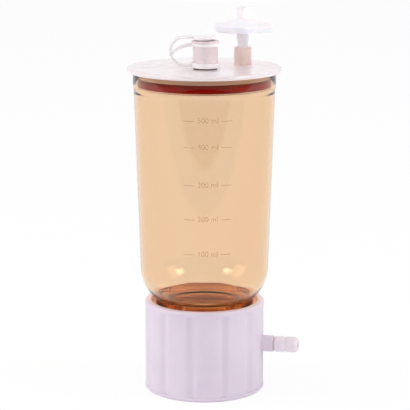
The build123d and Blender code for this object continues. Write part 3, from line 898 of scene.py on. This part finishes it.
def finished(bm: bmesh.types.BMesh, name: str, crease: float = CREASE) -> Object:
    """Makes an object of a mesh in millimetres, with smooth faces and sharp creases.

    Args:
        bm: The mesh, which is freed.
        name: The piece's name.
        crease: The angle past which an edge stays sharp, in degrees.

    Returns:
        The new object, at the origin.
    """
    bmesh.ops.scale(bm, vec=(MM, MM, MM), verts=bm.verts)
    for face in bm.faces:
        face.smooth = True
    mesh = bpy.data.meshes.new(name)
    bm.to_mesh(mesh)
    bm.free()
    mesh.set_sharp_from_angle(angle=math.radians(crease))
    return linked(name, mesh)


def joined(first: bmesh.types.BMesh, *others: bmesh.types.BMesh) -> bmesh.types.BMesh:
    """Puts several meshes into the first one.

    Args:
        first: The mesh that takes the others in.
        *others: Meshes that are freed.

    Returns:
        The first mesh.
    """
    for other in others:
        carrier = bpy.data.meshes.new("carrier")
        other.to_mesh(carrier)
        other.free()
        first.from_mesh(carrier)
        bpy.data.meshes.remove(carrier)
    return first


def fused(piece: Object, tool: Object) -> None:
    """Makes one solid of a piece and a tool that runs into it.

    Args:
        piece: The piece that grows.
        tool: The piece that is used up.
    """
    modifier = piece.modifiers.new("fuse", "BOOLEAN")
    modifier.operation = "UNION"
    modifier.solver = "EXACT"
    modifier.object = tool
    bpy.context.view_layer.update()
    graph = bpy.context.evaluated_depsgraph_get()
    mesh = bpy.data.meshes.new_from_object(piece.evaluated_get(graph))
    mesh.name = piece.name
    piece.modifiers.clear()
    piece.data = mesh
    bpy.data.objects.remove(tool)


class Sweep:
    """A rounded section that is carried along a path, one run or turn after another."""

    def __init__(self, section: Sequence[Vector], rounding: float) -> None:
        """Makes the first section.

        Args:
            section: The section's corners in order.
            rounding: How far its corners are rounded.
        """
        self.bm = bmesh.new()
        verts = [self.bm.verts.new(point) for point in section]
        self.bm.faces.new(verts)
        round_off(self.bm, verts, rounding, steps=3)
        self.end = self.bm.faces[:]

    def run(self, step: Vector) -> None:
        """Carries the section straight on.

        Args:
            step: How far, and which way.
        """
        grown = bmesh.ops.extrude_face_region(self.bm, geom=self.end)["geom"]
        verts = [item for item in grown if isinstance(item, bmesh.types.BMVert)]
        bmesh.ops.translate(self.bm, verts=verts, vec=step)
        self.end = [item for item in grown if isinstance(item, bmesh.types.BMFace)]

    def turn(
        self, centre: Vector, axis: Vector, angle: float, steps: int, rise: float = 0.0
    ) -> None:
        """Carries the section round an axis.

        Args:
            centre: A point on the axis.
            axis: The axis's direction.
            angle: How far it turns, in radians.
            steps: How many facets the turn has.
            rise: How far it moves along +Z in the whole turn.
        """
        last = bmesh.ops.spin(
            self.bm,
            geom=self.end,
            cent=centre,
            axis=axis,
            angle=angle,
            steps=steps,
            dvec=UP * (rise / steps),
        )["geom_last"]
        self.end = [item for item in last if isinstance(item, bmesh.types.BMFace)]

    def done(self) -> bmesh.types.BMesh:
        """Closes the sweep and gives its mesh."""
        tidy(self.bm)
        return self.bm


@dataclass(frozen=True)
class ThreadRidge:
    """One helical ridge of a right-hand screw thread.

    Attributes:
        root: Radius of the wall that the ridge stands on.
        crest: Radius of its top, less than the root in a bore.
        start: Height of its middle where it starts.
        turns: How many turns it makes.
        foot: Its width at the root.
        tip: Its width at the crest.
    """

    root: float
    crest: float
    start: float
    turns: float
    foot: float = 1.7
    tip: float = 0.8

    def build(self) -> bmesh.types.BMesh:
        """Sweeps the ridge round its wall.

        Returns:
            The ridge's mesh.
        """
        section = [
            Vector((self.root, 0.0, self.start - self.foot / 2)),
            Vector((self.crest, 0.0, self.start - self.tip / 2)),
            Vector((self.crest, 0.0, self.start + self.tip / 2)),
            Vector((self.root, 0.0, self.start + self.foot / 2)),
        ]
        steps_a_turn = 72
        steps = round(steps_a_turn * self.turns)
        sweep = Sweep(section, rounding=0.12)
        sweep.turn(Vector(), UP, TURN * self.turns, steps, rise=THREAD_PITCH * self.turns)
        return sweep.done()


def place(piece: Object, material: Material, body: Body) -> None:
    """Dresses a finished piece, and makes it ride on its body.

    Args:
        piece: The piece.
        material: What it is made of.
        body: The body that it moves with.
    """
    piece.data.materials.clear()
    piece.data.materials.append(material)
    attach(piece, body.value)
    LOG.info("%s rides on %s, %d faces", piece.name, body.value, len(piece.data.polygons))


# ---------------------------------------------------------------- sub-assemblies


@dataclass
class Holder:
    """The white base with its bottle thread, filter seat and hose barb.

    Attributes:
        bottle_bore: Radius of the bore that a bottle screws into.
        bottle_thread_start: Height of the bottle bore's ridge where it starts.
        socket: Radius of the socket for the funnel's neck.
        socket_thread_start: Height of the socket's ridge where it starts.
        bottle_thread_depth: How far the bottle bore's ridge stands out of its wall.
        socket_thread_depth: The same of the socket's ridge.
        thread_sunk: How deep the ridges' roots run into their wall.
    """

    bottle_bore: float = 22.9
    bottle_thread_start: float = 4.5
    socket: float = 31.3
    socket_thread_start: float = 44.0
    bottle_thread_depth: float = 1.0
    socket_thread_depth: float = 0.95
    thread_sunk: float = 0.05

    def bottle_thread(self) -> Object:
        """Makes the ridge inside the bottle bore.

        Returns:
            The ridge.
        """
        ridge = ThreadRidge(
            root=self.bottle_bore + self.thread_sunk,
            crest=self.bottle_bore - self.bottle_thread_depth,
            start=self.bottle_thread_start,
            turns=2.6,
        )
        return finished(ridge.build(), "bottle_thread")

    def socket_thread(self) -> Object:
        """Makes the ridge inside the neck's socket, half a pitch from the neck's own.

        Returns:
            The ridge.
        """
        ridge = ThreadRidge(
            root=self.socket + self.thread_sunk,
            crest=self.socket - self.socket_thread_depth,
            start=self.socket_thread_start,
            turns=1.75,
        )
        return finished(ridge.build(), "socket_thread")

    def build(self, finishes: Finishes) -> None:
        """Adds the threads and dresses the CAD nodes.

        Args:
            finishes: The unit's materials.
        """
        place(self.bottle_thread(), finishes.holder, Body.HOLDER)
        place(self.socket_thread(), finishes.holder, Body.HOLDER)
        dress(finishes.holder, "holder")
        dress(finishes.nozzle, "hose_barb")
        gaskets = ("barb_seal", "bottle_gasket", "seat_gasket", "membrane_gasket")
        dress(finishes.clear_rubber, *gaskets)
        dress(finishes.screen, "support_screen")
        dress(finishes.membrane, "filter_membrane")


@dataclass
class Funnel:
    """The amber cup with its rim band, bowl, threaded neck and printed scale.

    Attributes:
        band: Outer radius of the rim band.
        rim_bore: Bore at the rim.
        rim: Height of the rim.
        band_foot: Height of the band's lower edge.
        body_top: Radius and height where the plain wall ends under the band.
        bowl_top: Radius and height where the bowl starts.
        wall: Thickness of the wall.
        outer_corner: Height of the corner that is rounded into the bowl's outer face.
        inner_corner: Height of the corner that is rounded into the bowl's inner face.
        collar: Radius of the neck's collar, and of its thread's crest.
        collar_top: Height where the collar meets the bowl.
        collar_foot: Height where the collar steps down to the neck.
        neck: Radius of the neck between the ridges.
        neck_bore: Bore of the neck.
        neck_roof: Height where the neck's bore ends under the bowl.
        neck_end: Height of the neck's lower end.
        thread_start: Height of the neck's ridge where it starts.
        spigot: Outer radius of the spigot over the membrane.
        spigot_root: Height where the spigot meets the bowl.
        spigot_end: Height of the spigot's lower end.
        throat: Bore of the spigot.
        throat_top: Height where the throat opens into the bowl.
        marks: Height and label of each line of the scale.
        scale_azimuth: Where the scale's middle is, in degrees round from the front.
        number_size: Size of the scale's numbers.
        dash_size: Size of the dashes beside them.
        dash_offset: How far each dash's middle is from the number's.
    """

    band: float = 44.3
    rim_bore: float = 42.1
    rim: float = 201.6
    band_foot: float = 192.4
    body_top: tuple[float, float] = (43.85, 190.6)
    bowl_top: tuple[float, float] = (40.1, 77.0)
    wall: float = 2.2
    outer_corner: float = 65.68
    inner_corner: float = 59.15
    collar: float = 31.0
    collar_top: float = 58.93
    collar_foot: float = 52.4
    neck: float = 30.0
    neck_bore: float = 28.2
    neck_roof: float = 55.37
    neck_end: float = 40.2
    thread_start: float = 42.0
    spigot: float = 23.8
    spigot_root: float = 53.17
    spigot_end: float = 42.3
    throat: float = 20.2
    throat_top: float = 56.87
    marks: tuple[tuple[float, str], ...] = (
        (95.0, "100 ml"),
        (116.7, "200 ml"),
        (138.0, "300 ml"),
        (161.2, "400 ml"),
        (177.3, "500 ml"),
    )
    scale_azimuth: float = 2.8
    number_size: float = 4.6
    dash_size: float = 6.2
    dash_offset: float = 12.0

    def wall_radius(self, height: float) -> float:
        """Gives the cup's outer radius on its plain wall.

        Args:
            height: The height there.

        Returns:
            The radius.
        """
        low_r, low_z = self.bowl_top
        high_r, high_z = self.body_top
        return low_r + (height - low_z) * (high_r - low_r) / (high_z - low_z)

    def cup(self) -> Object:
        """Turns the cup's wall, then fuses the neck's thread to it.

        Returns:
            The cup.
        """
        body_r, body_z = self.body_top
        bowl_r, bowl_z = self.bowl_top
        body_bore, bowl_bore = body_r - self.wall, bowl_r - self.wall
        band_run = self.band_foot - body_z
        collar_run, ridge_sunk = 0.8, 0.3
        short = 0.02  # keeps each bowl rounding just clear of the straight wall's end
        outer_rounding = bowl_z - self.outer_corner - short
        inner_rounding = bowl_z - self.inner_corner - short
        profile = [
            Corner(self.rim_bore, self.rim, 0.5),
            Corner(self.band, self.rim, 0.6),
            Corner(self.band, self.band_foot, 0.5),
            Corner(body_r, body_z, 0.8),
            Corner(bowl_r, bowl_z),
            Corner(bowl_r, self.outer_corner, outer_rounding, 14),
            Corner(self.collar, self.collar_top, 0.5),
            Corner(self.collar, self.collar_foot, 0.3),
            Corner(self.neck, self.collar_foot - collar_run, 0.3),
            Corner(self.neck, self.neck_end, 0.6),
            Corner(self.neck_bore, self.neck_end, 0.6),
            Corner(self.neck_bore, self.neck_roof, 0.6),
            Corner(self.spigot, self.spigot_root, 0.6),
            Corner(self.spigot, self.spigot_end, 0.3),
            Corner(self.throat, self.spigot_end, 0.3),
            Corner(self.throat, self.throat_top, 0.4),
            Corner(bowl_bore, self.inner_corner, inner_rounding, 16),
            Corner(bowl_bore, bowl_z),
            Corner(body_bore, body_z - band_run, 0.5),
            Corner(self.rim_bore, body_z, 0.5),
        ]
        piece = finished(turned(profile, steps=160), "funnel_cup")
        ridge = ThreadRidge(
            root=self.neck - ridge_sunk,
            crest=self.collar,
            start=self.thread_start,
            turns=2.1,
            foot=1.9,
        )
        fused(piece, finished(ridge.build(), "neck_ridge"))
        piece.data.set_sharp_from_angle(angle=math.radians(CREASE))
        return piece

    def line_of_print(self, text: str, size: float) -> bmesh.types.BMesh:
        """Makes flat lettering, cut into narrow strips so that it can be bent round the cup.

        Args:
            text: What it says.
            size: Its size.

        Returns:
            The lettering in the XY plane, centred, with its thickness along Z.
        """
        strip = 0.8
        half_thickness = 0.07
        curve = bpy.data.curves.new("lettering", "FONT")
        curve.body = text
        curve.size = size
        curve.align_x = "CENTER"
        curve.align_y = "CENTER"
        curve.extrude = half_thickness
        curve.resolution_u = 4
        carrier = linked("lettering", curve)
        bpy.context.view_layer.update()
        graph = bpy.context.evaluated_depsgraph_get()
        mesh = bpy.data.meshes.new_from_object(carrier.evaluated_get(graph))
        bpy.data.objects.remove(carrier)
        bm = bmesh.new()
        bm.from_mesh(mesh)
        bpy.data.meshes.remove(mesh)
        reach = max(abs(vert.co.x) for vert in bm.verts)
        for index in range(int(reach / strip) + 1):
            for side in (-1.0, 1.0):
                bmesh.ops.bisect_plane(
                    bm,
                    geom=bm.verts[:] + bm.edges[:] + bm.faces[:],
                    plane_co=(side * (index + 0.5) * strip, 0.0, 0.0),
                    plane_no=(1.0, 0.0, 0.0),
                )
        return bm

    def wrapped(self, bm: bmesh.types.BMesh, height: float, azimuth: float) -> bmesh.types.BMesh:
        """Bends flat lettering round the cup's wall.

        Args:
            bm: The lettering in the XY plane.
            height: The height of its middle.
            azimuth: Where its middle is, in radians round from the front.

        Returns:
            The same mesh on the wall.
        """
        middle = FRONT_AZIMUTH - TURN / 4 + azimuth
        for vert in bm.verts:
            z = height + vert.co.y
            radius = self.wall_radius(z) + vert.co.z
            angle = middle + vert.co.x / radius
            vert.co = Vector((radius * math.cos(angle), radius * math.sin(angle), z))
        return bm

    def scale(self) -> Object:
        """Makes the printed lines and numbers of the scale.

        Returns:
            The print, as one piece.
        """
        middle = math.radians(self.scale_azimuth)
        dash_shift = self.dash_offset / self.band
        lines = []
        for height, label in self.marks:
            number = self.line_of_print(label, self.number_size)
            lines.append(self.wrapped(number, height, middle))
            for side in (-1.0, 1.0):
                dash = self.line_of_print("—", self.dash_size)
                lines.append(self.wrapped(dash, height, middle + side * dash_shift))
        return finished(joined(*lines), "scale_print")

    def build(self, finishes: Finishes) -> None:
        """Makes the cup and its scale.

        Args:
            finishes: The unit's materials.
        """
        cup = self.cup()
        place(cup, finishes.amber, Body.FUNNEL)
        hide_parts("funnel")
        place(self.scale(), finishes.ink, Body.FUNNEL)


@dataclass
class Lid:
    """The lid with its seal, fill port and vent sleeve.

    Attributes:
        seal_inner: Inner radius of the seal.
        seal_rim: Radius of the seal's lip.
        seal_waist: Radius of the seal above its lip.
        seal_foot: Height of the seal's underside.
        seal_step: Height of the lip's upper edge.
        seal_top: Height of the seal's top.
    """

    seal_inner: float = 39.1
    seal_rim: float = 42.0
    seal_waist: float = 39.5
    seal_foot: float = 193.35
    seal_step: float = 196.4
    seal_top: float = 198.25

    def seal(self) -> Object:
        """Turns the soft seal, with a lip below and a waist above.

        Returns:
            The seal.
        """
        step_run = 0.2
        profile = [
            Corner(self.seal_inner, self.seal_foot, 0.2, 2),
            Corner(self.seal_rim, self.seal_foot, 0.9, 5),
            Corner(self.seal_rim, self.seal_step, 0.9, 5),
            Corner(self.seal_waist, self.seal_step + step_run, 0.3, 3),
            Corner(self.seal_waist, self.seal_top, 0.2, 2),
            Corner(self.seal_inner, self.seal_top, 0.2, 2),
        ]
        return finished(turned(profile, steps=144), "seal_ring", crease=SOFT_CREASE)

    def build(self, finishes: Finishes) -> None:
        """Makes the seal and dresses the CAD nodes.

        Args:
            finishes: The unit's materials.
        """
        seal = self.seal()
        place(seal, finishes.red_rubber, Body.SEAL)
        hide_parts("lid_seal")
        dress(finishes.lid, "lid")
        dress(finishes.port, "fill_port", "port_nut")
        dress(finishes.washer, "port_washer")
        dress(finishes.tan_rubber, "vent_sleeve")


@dataclass
class CapAndTether:
    """The soft cap, its strap, and the two rings that hold the strap to the fill port.

    Positions are on the tether's own plane: along is measured from the port's axis towards the
    bend, across is level and square to that, and heights are the frame's.

    Attributes:
        port: Where the port's axis is, in X and Y.
        azimuth: Which way the tether runs, in radians round from +X.
        port_radius: Radius of the port's wall.
        bend_along: How far the bend's centre is from the port's axis.
        bend_height: Height of the bend's centre.
        bend_radius: Radius of the bend to the strap's middle.
        strap: Width and thickness of the strap.
        foot_ring: Radius, lower height and upper height of the ring at the port's foot.
        neck_ring: The same of the ring under the port's lip.
        cap_radius: Radius of the cap.
        cap_along: How far the cap's middle is from the port's axis.
        cap_height: Height of the cap's underside at its middle.
        cap_thickness: Thickness of the cap.
        cap_tilt: How far the cap leans, in radians.
        ring_sunk: How deep the strap and the arm run into their rings.
        tip_reach: How far the strap's tip ends inside the cap's edge.
        arm_bow: Radius of the arm's bow.
        arm_drop: How far below the bend's centre the arm meets it, in radians round the bend.
        blend_run: Where the strap would go over from the lid to the cap, up from the bend's centre;
            not used.
    """

    port: tuple[float, float] = (2.847, -10.625)
    azimuth: float = math.radians(192.0)
    port_radius: float = 7.75
    bend_along: float = 12.7
    bend_height: float = 215.4
    bend_radius: float = 8.7
    strap: tuple[float, float] = (5.0, 1.6)
    foot_ring: tuple[float, float, float] = (8.6, 205.4, 208.4)
    neck_ring: tuple[float, float, float] = (8.5, 218.6, 220.4)
    cap_radius: float = 6.9
    cap_along: float = 0.6
    cap_height: float = 222.56
    cap_thickness: float = 2.4
    cap_tilt: float = math.radians(3.0)
    ring_sunk: float = 0.7
    tip_reach: float = 1.5
    arm_bow: float = 20.0
    arm_drop: float = math.radians(14.0)
    blend_run: tuple[float, float] = (-1.5, 7.5)

    def to_frame(self) -> Matrix:
        """Gives the transform from the tether's plane to the frame's axes."""
        shift = Matrix.Translation(Vector((self.port[0], self.port[1], 0.0)))
        return shift @ Matrix.Rotation(self.azimuth, 4, "Z")

    def section(self, along: float, height: float, slope: float) -> list[Vector]:
        """Gives the strap's section square to its run.

        Args:
            along: Where its middle is along the plane.
            height: The height of its middle.
            slope: The slope of the strap's run there, in radians.

        Returns:
            The section's four corners.
        """
        half_w, half_t = self.strap[0] / 2, self.strap[1] / 2
        across_run = Vector((-math.sin(slope), 0.0, math.cos(slope)))
        middle = Vector((along, 0.0, height))
        side = Vector((0.0, 1.0, 0.0))
        return [
            middle - across_run * half_t - side * half_w,
            middle - across_run * half_t + side * half_w,
            middle + across_run * half_t + side * half_w,
            middle + across_run * half_t - side * half_w,
        ]

    def bent_strap(self) -> Object:
        """Makes the strap from the foot ring round the bend to the cap.

        Returns:
            The strap.
        """
        tip_steps = 4
        low = self.bend_height - self.bend_radius
        root = self.foot_ring[0] - self.ring_sunk
        tip = self.cap_along + self.cap_radius - self.tip_reach
        sweep = Sweep(self.section(root, low, 0.0), rounding=0.5)
        sweep.run(Vector((self.bend_along - root, 0.0, 0.0)))
        centre = Vector((self.bend_along, 0.0, self.bend_height))
        sweep.turn(centre, Vector((0.0, -1.0, 0.0)), TURN / 2, steps=36)
        for _ in range(tip_steps):
            sweep.run(Vector(((tip - self.bend_along) / tip_steps, 0.0, 0.0)))
        bm = sweep.done()
        bmesh.ops.transform(bm, matrix=self.to_frame(), verts=bm.verts)
        return finished(bm, "tether_strap", crease=SOFT_CREASE)

    def arm(self) -> bmesh.types.BMesh:
        """Makes the bowed arm from the ring under the lip to the bend.

        Returns:
            The arm's mesh, on the tether's own plane.
        """
        ring_r, ring_low, ring_high = self.neck_ring
        start = Vector((ring_r - self.ring_sunk, 0.0, (ring_low + ring_high) / 2))
        end = Vector(
            (
                self.bend_along + self.bend_radius * math.cos(self.arm_drop),
                0.0,
                self.bend_height - self.bend_radius * math.sin(self.arm_drop),
            )
        )
        chord = end - start
        lift = math.sqrt(self.arm_bow**2 - (chord.length / 2) ** 2)
        down = Vector((chord.z, 0.0, -chord.x)).normalized()
        centre = (start + end) / 2 + down * lift
        radial = start - centre
        slope = math.atan2(-radial.x, radial.z)
        angle = 2 * math.asin(chord.length / 2 / self.arm_bow)
        sweep = Sweep(self.section(start.x, start.z, slope), rounding=0.5)
        sweep.turn(centre, Vector((0.0, 1.0, 0.0)), angle, steps=12)
        return sweep.done()

    def ring(self, size: tuple[float, float, float]) -> bmesh.types.BMesh:
        """Turns one ring round the port.

        Args:
            size: The ring's radius, lower height and upper height.

        Returns:
            The ring's mesh, centred on the port's axis.
        """
        radius, low, high = size
        profile = [
            Corner(self.port_radius, low, 0.2, 2),
            Corner(radius, low, 0.5),
            Corner(radius, high, 0.5),
            Corner(self.port_radius, high, 0.2, 2),
        ]
        return turned(profile, steps=72)

    def rings(self) -> Object:
        """Makes both rings and the arm as one piece.

        Returns:
            The piece.
        """
        bm = joined(self.ring(self.foot_ring), self.ring(self.neck_ring), self.arm())
        bmesh.ops.transform(bm, matrix=self.to_frame(), verts=bm.verts)
        return finished(bm, "tether_rings", crease=SOFT_CREASE)

    def cap(self) -> Object:
        """Turns the cap with its plug, and leans it as it lies on the port.

        Returns:
            The cap.
        """
        plug_root, plug_tip, plug_height = 4.6, 3.9, 2.4
        dish_radius, dish_run, dish_depth = self.cap_radius - 1.9, 0.3, 0.25
        dish_floor = self.cap_thickness - dish_depth
        profile = [
            Corner(0.0, dish_floor),
            Corner(dish_radius, dish_floor, 0.3, 3),
            Corner(dish_radius + dish_run, self.cap_thickness, 0.2, 3),
            Corner(self.cap_radius, self.cap_thickness, 0.8, 5),
            Corner(self.cap_radius, 0.0, 0.6, 4),
            Corner(plug_root, 0.0, 0.3, 3),
            Corner(plug_tip, -plug_height, 0.4, 3),
            Corner(0.0, -plug_height),
        ]
        bm = turned(profile, steps=72)
        lean = Matrix.Rotation(self.cap_tilt, 4, "Y")
        shift = Matrix.Translation(Vector((self.cap_along, 0.0, self.cap_height)))
        bmesh.ops.transform(bm, matrix=self.to_frame() @ shift @ lean, verts=bm.verts)
        return finished(bm, "cap_disc", crease=SOFT_CREASE)

    def build(self, finishes: Finishes) -> None:
        """Makes the rings, the cap and the strap.

        Args:
            finishes: The unit's materials.
        """
        rings = self.rings()
        place(rings, finishes.cap_rubber, Body.LID)
        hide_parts("cap_tether")
        cap = self.cap()
        place(cap, finishes.cap_rubber, Body.CAP)
        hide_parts("port_cap")
        strap = self.bent_strap()
        strap.data.materials.append(finishes.cap_rubber)
        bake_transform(strap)
        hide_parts("cap_tether", "port_cap")
        LOG.info("%s bends between lid and cap", strap.name)


@dataclass
class VentFilter:
    """The disc filter that stands in the soft sleeve.

    Attributes:
        axis: Where the filter's axis is, in X and Y.
        disc_radius: Radius of the disc.
        seam_height: Height of the weld between its two shells.
        bead_proud: How far the weld's bead stands out of the disc.
        bead_sunk: How deep its root runs into the disc.
        bead_half: Half the bead's width at its crest, and its rounding.
        bead_foot: Half its width at its root.
    """

    axis: tuple[float, float] = (21.211, 14.687)
    disc_radius: float = 18.2
    seam_height: float = 227.7
    bead_proud: float = 0.16
    bead_sunk: float = 0.2
    bead_half: float = 0.15
    bead_foot: float = 0.35

    def weld_bead(self) -> Object:
        """Turns the fine bead that the weld leaves round the disc.

        Returns:
            The bead.
        """
        root = self.disc_radius - self.bead_sunk
        crest = self.disc_radius + self.bead_proud
        half, foot = self.bead_half, self.bead_foot
        profile = [
            Corner(root, self.seam_height - foot),
            Corner(crest, self.seam_height - half, half, 3),
            Corner(crest, self.seam_height + half, half, 3),
            Corner(root, self.seam_height + foot),
        ]
        bm = turned(profile)
        bmesh.ops.translate(bm, verts=bm.verts, vec=(*self.axis, 0.0))
        return finished(bm, "vent_weld_bead", crease=60.0)

    def build(self, finishes: Finishes) -> None:
        """Adds the weld bead and dresses the CAD nodes.

        Args:
            finishes: The unit's materials.
        """
        place(self.weld_bead(), finishes.vent, Body.VENT)
        dress(finishes.vent, "vent_outlet_shell", "vent_inlet_shell")
        dress(finishes.membrane, "vent_membrane")


# ---------------------------------------------------------------- studio


@dataclass
class Studio:
    """The pale floor, the soft lamps, the white surroundings and the camera.

    Attributes:
        distance: Level distance from the object's axis to the camera, in metres.
        height: Height of the camera, in metres.
        pitch: How far the camera looks down, in degrees.
        lens: Focal length on a 36 mm sensor, in millimetres.
        shift: Sideways shift of the view, as a share of its width.
        ambient: Strength of the surroundings' light on the object.
        front_colour: The colour of the surroundings' front side where pieces mirror it.
        front_edge: Where that side starts and is whole, as the cosine of the angle to the front.
        floor_size: Half the length of the floor's side, in millimetres.
        floor_front: How far the floor reaches in front of the object, in millimetres.
        floor_glow: The floor's own brightness.
        floor_glow_share: How much of the floor's look is its own glow, and not its shading.
        glint_distance: How far the glint lamps stand from the bowl, in metres.
        bowl_height: Height of the bowl's middle, in metres.
    """

    distance: float = 1.1321
    height: float = 0.3491
    pitch: float = 11.567
    lens: float = 162.04
    shift: float = 0.0014
    ambient: float = 0.69
    front_colour: Colour = (0.03, 0.022, 0.02, 1.0)
    front_edge: tuple[float, float] = (-0.1, 0.25)
    floor_size: float = 4000.0
    floor_front: float = 600.0
    floor_glow: float = 1.025
    floor_glow_share: float = 0.86
    glint_distance: float = 1.3
    bowl_height: float = 0.07

    def camera(self) -> None:
        """Makes the camera."""
        data = bpy.data.cameras.new("camera")
        data.lens = self.lens
        data.sensor_width = 36.0
        data.shift_x = self.shift
        camera = linked("camera", data)
        camera.location = (
            self.distance * math.sin(FRONT_AZIMUTH),
            -self.distance * math.cos(FRONT_AZIMUTH),
            self.height,
        )
        camera.rotation_euler = (math.radians(90.0 - self.pitch), 0.0, FRONT_AZIMUTH)
        bpy.context.scene.camera = camera

    def has_met(self, graph: Graph, kind: str) -> NodeSocket:
        """Gives 1 for a ray that has met a Diffuse or a Glossy surface, by kind, and 0 otherwise."""
        path = graph.node("LightPath")
        return graph.maths("MINIMUM", path.outputs[kind + " Depth"], 1.0)

    def front_share(self, graph: Graph) -> NodeSocket:
        """Adds a mask of the surroundings' front side.

        Args:
            graph: The world's node tree.

        Returns:
            The mask's output, 1 in front and 0 behind, with a soft edge between.
        """
        facing = graph.node("VectorMath", operation="DOT_PRODUCT")
        facing.inputs[1].default_value = (math.sin(FRONT_AZIMUTH), -math.cos(FRONT_AZIMUTH), 0.0)
        graph.feed(facing.inputs[0], graph.node("TexCoord").outputs["Generated"])
        return graph.mapped(facing.outputs["Value"], self.front_edge, easing="SMOOTHSTEP")

    def surroundings(self) -> None:
        """Makes the world: white, but dim in front for mirroring skins and plain for matt ones."""
        world = bpy.data.worlds.new("surroundings")
        bpy.context.scene.world = world
        world.use_nodes = True
        graph = Graph(world.node_tree)
        mirrored_front = graph.maths(
            "MULTIPLY", self.front_share(graph), self.has_met(graph, "Glossy")
        )
        looked_at = graph.blend(mirrored_front, WHITE, self.front_colour)
        plain = (self.ambient, self.ambient, self.ambient, 1.0)
        seen = graph.blend(self.has_met(graph, "Diffuse"), looked_at, plain)
        graph.feed(graph.tree.nodes["Background"].inputs["Color"], seen)

    def floor(self) -> None:
        """Makes the pale floor, which looks white but keeps a soft shadow."""
        below_foot = 0.05
        middle = (0.0, self.floor_size - self.floor_front, -below_foot)
        bm = bmesh.new()
        bmesh.ops.create_grid(bm, x_segments=2, y_segments=2, size=self.floor_size)
        bmesh.ops.translate(bm, verts=bm.verts, vec=middle)
        turn = Matrix.Rotation(FRONT_AZIMUTH, 3, "Z")
        bmesh.ops.rotate(bm, cent=(0.0, 0.0, 0.0), matrix=turn, verts=bm.verts)
        floor = finished(bm, "floor")
        material = bpy.data.materials.new("floor_white")
        material.use_nodes = True
        graph = Graph(material.node_tree)
        shader = graph.tree.nodes["Principled BSDF"]
        shader.inputs["Base Color"].default_value = srgb(250, 248, 250)
        shader.inputs["Roughness"].default_value = 0.9
        shader.inputs["Specular IOR Level"].default_value = 0.0
        glow = graph.node("Emission")
        glow.inputs["Strength"].default_value = self.floor_glow
        share = self.floor_glow_share
        amount = graph.maths("MULTIPLY_ADD", self.has_met(graph, "Diffuse"), -share, share)
        seen = graph.either(amount, shader.outputs["BSDF"], glow.outputs["Emission"])
        graph.feed(graph.tree.nodes["Material Output"].inputs["Surface"], seen)
        floor.data.materials.append(material)

    def lamp(
        self,
        name: str,
        at: Vector,
        size: tuple[float, float],
        power: float,
        aim_height: float = 0.12,
        spread: float = 180.0,
    ) -> Object:
        """Makes a soft rectangular lamp that faces the object's axis.

        Args:
            name: The lamp's name.
            at: Where it stands, in metres.
            size: Its width and height, in metres.
            power: Its power, in watts.
            aim_height: The height on the axis that it faces, in metres.
            spread: How wide its beam is, in degrees.

        Returns:
            The lamp.
        """
        data = bpy.data.lights.new(name, "AREA")
        data.shape = "RECTANGLE"
        data.size, data.size_y = size
        data.energy = power
        data.spread = math.radians(spread)
        lamp = linked(name, data)
        lamp.location = at
        aim = Vector((0.0, 0.0, aim_height)) - at
        lamp.rotation_euler = aim.to_track_quat("-Z", "Y").to_euler()
        return lamp

    def glint(self, name: str, azimuth: float, elevation: float) -> None:
        """Makes a lamp that shows only where glossy pieces mirror it.

        Args:
            name: The lamp's name.
            azimuth: Where it stands, in degrees round from the front.
            elevation: How high it stands over the bowl, in degrees.
        """
        turn = FRONT_AZIMUTH + math.radians(azimuth)
        rise = math.radians(elevation)
        way = Vector(
            (math.sin(turn) * math.cos(rise), -math.cos(turn) * math.cos(rise), math.sin(rise))
        )
        at = way * self.glint_distance + UP * self.bowl_height
        lamp = self.lamp(name, at, size=(0.32, 0.3), power=4.0)
        lamp.visible_diffuse = False

    def build(self) -> None:
        """Makes the whole studio."""
        self.camera()
        self.surroundings()
        self.floor()
        self.lamp("left_lamp", Vector((-1.3, -0.5, 0.8)), size=(0.7, 0.9), power=6.5)
        self.lamp("right_lamp", Vector((1.3, -0.1, 0.9)), size=(0.6, 0.8), power=4.5)
        self.lamp(
            "top_lamp",
            Vector((1.1, -0.7, 0.55)),
            size=(0.1, 0.1),
            power=0.014,
            aim_height=0.25,
            spread=7.0,
        )
        self.glint("left_glint", azimuth=-55.0, elevation=38.0)
        self.glint("right_glint", azimuth=60.0, elevation=38.0)
        bpy.context.scene.view_settings.view_transform = "Standard"


def main() -> None:
    """Builds the unit's sub-assemblies in order, then the studio."""
    logging.basicConfig(level=logging.INFO, format="%(name)s: %(message)s")
    finishes = Finishes()
    for assembly in (Holder(), Funnel(), Lid(), CapAndTether(), VentFilter()):
        assembly.build(finishes)
    Studio().build()


if __name__ == "__main__":
    main()
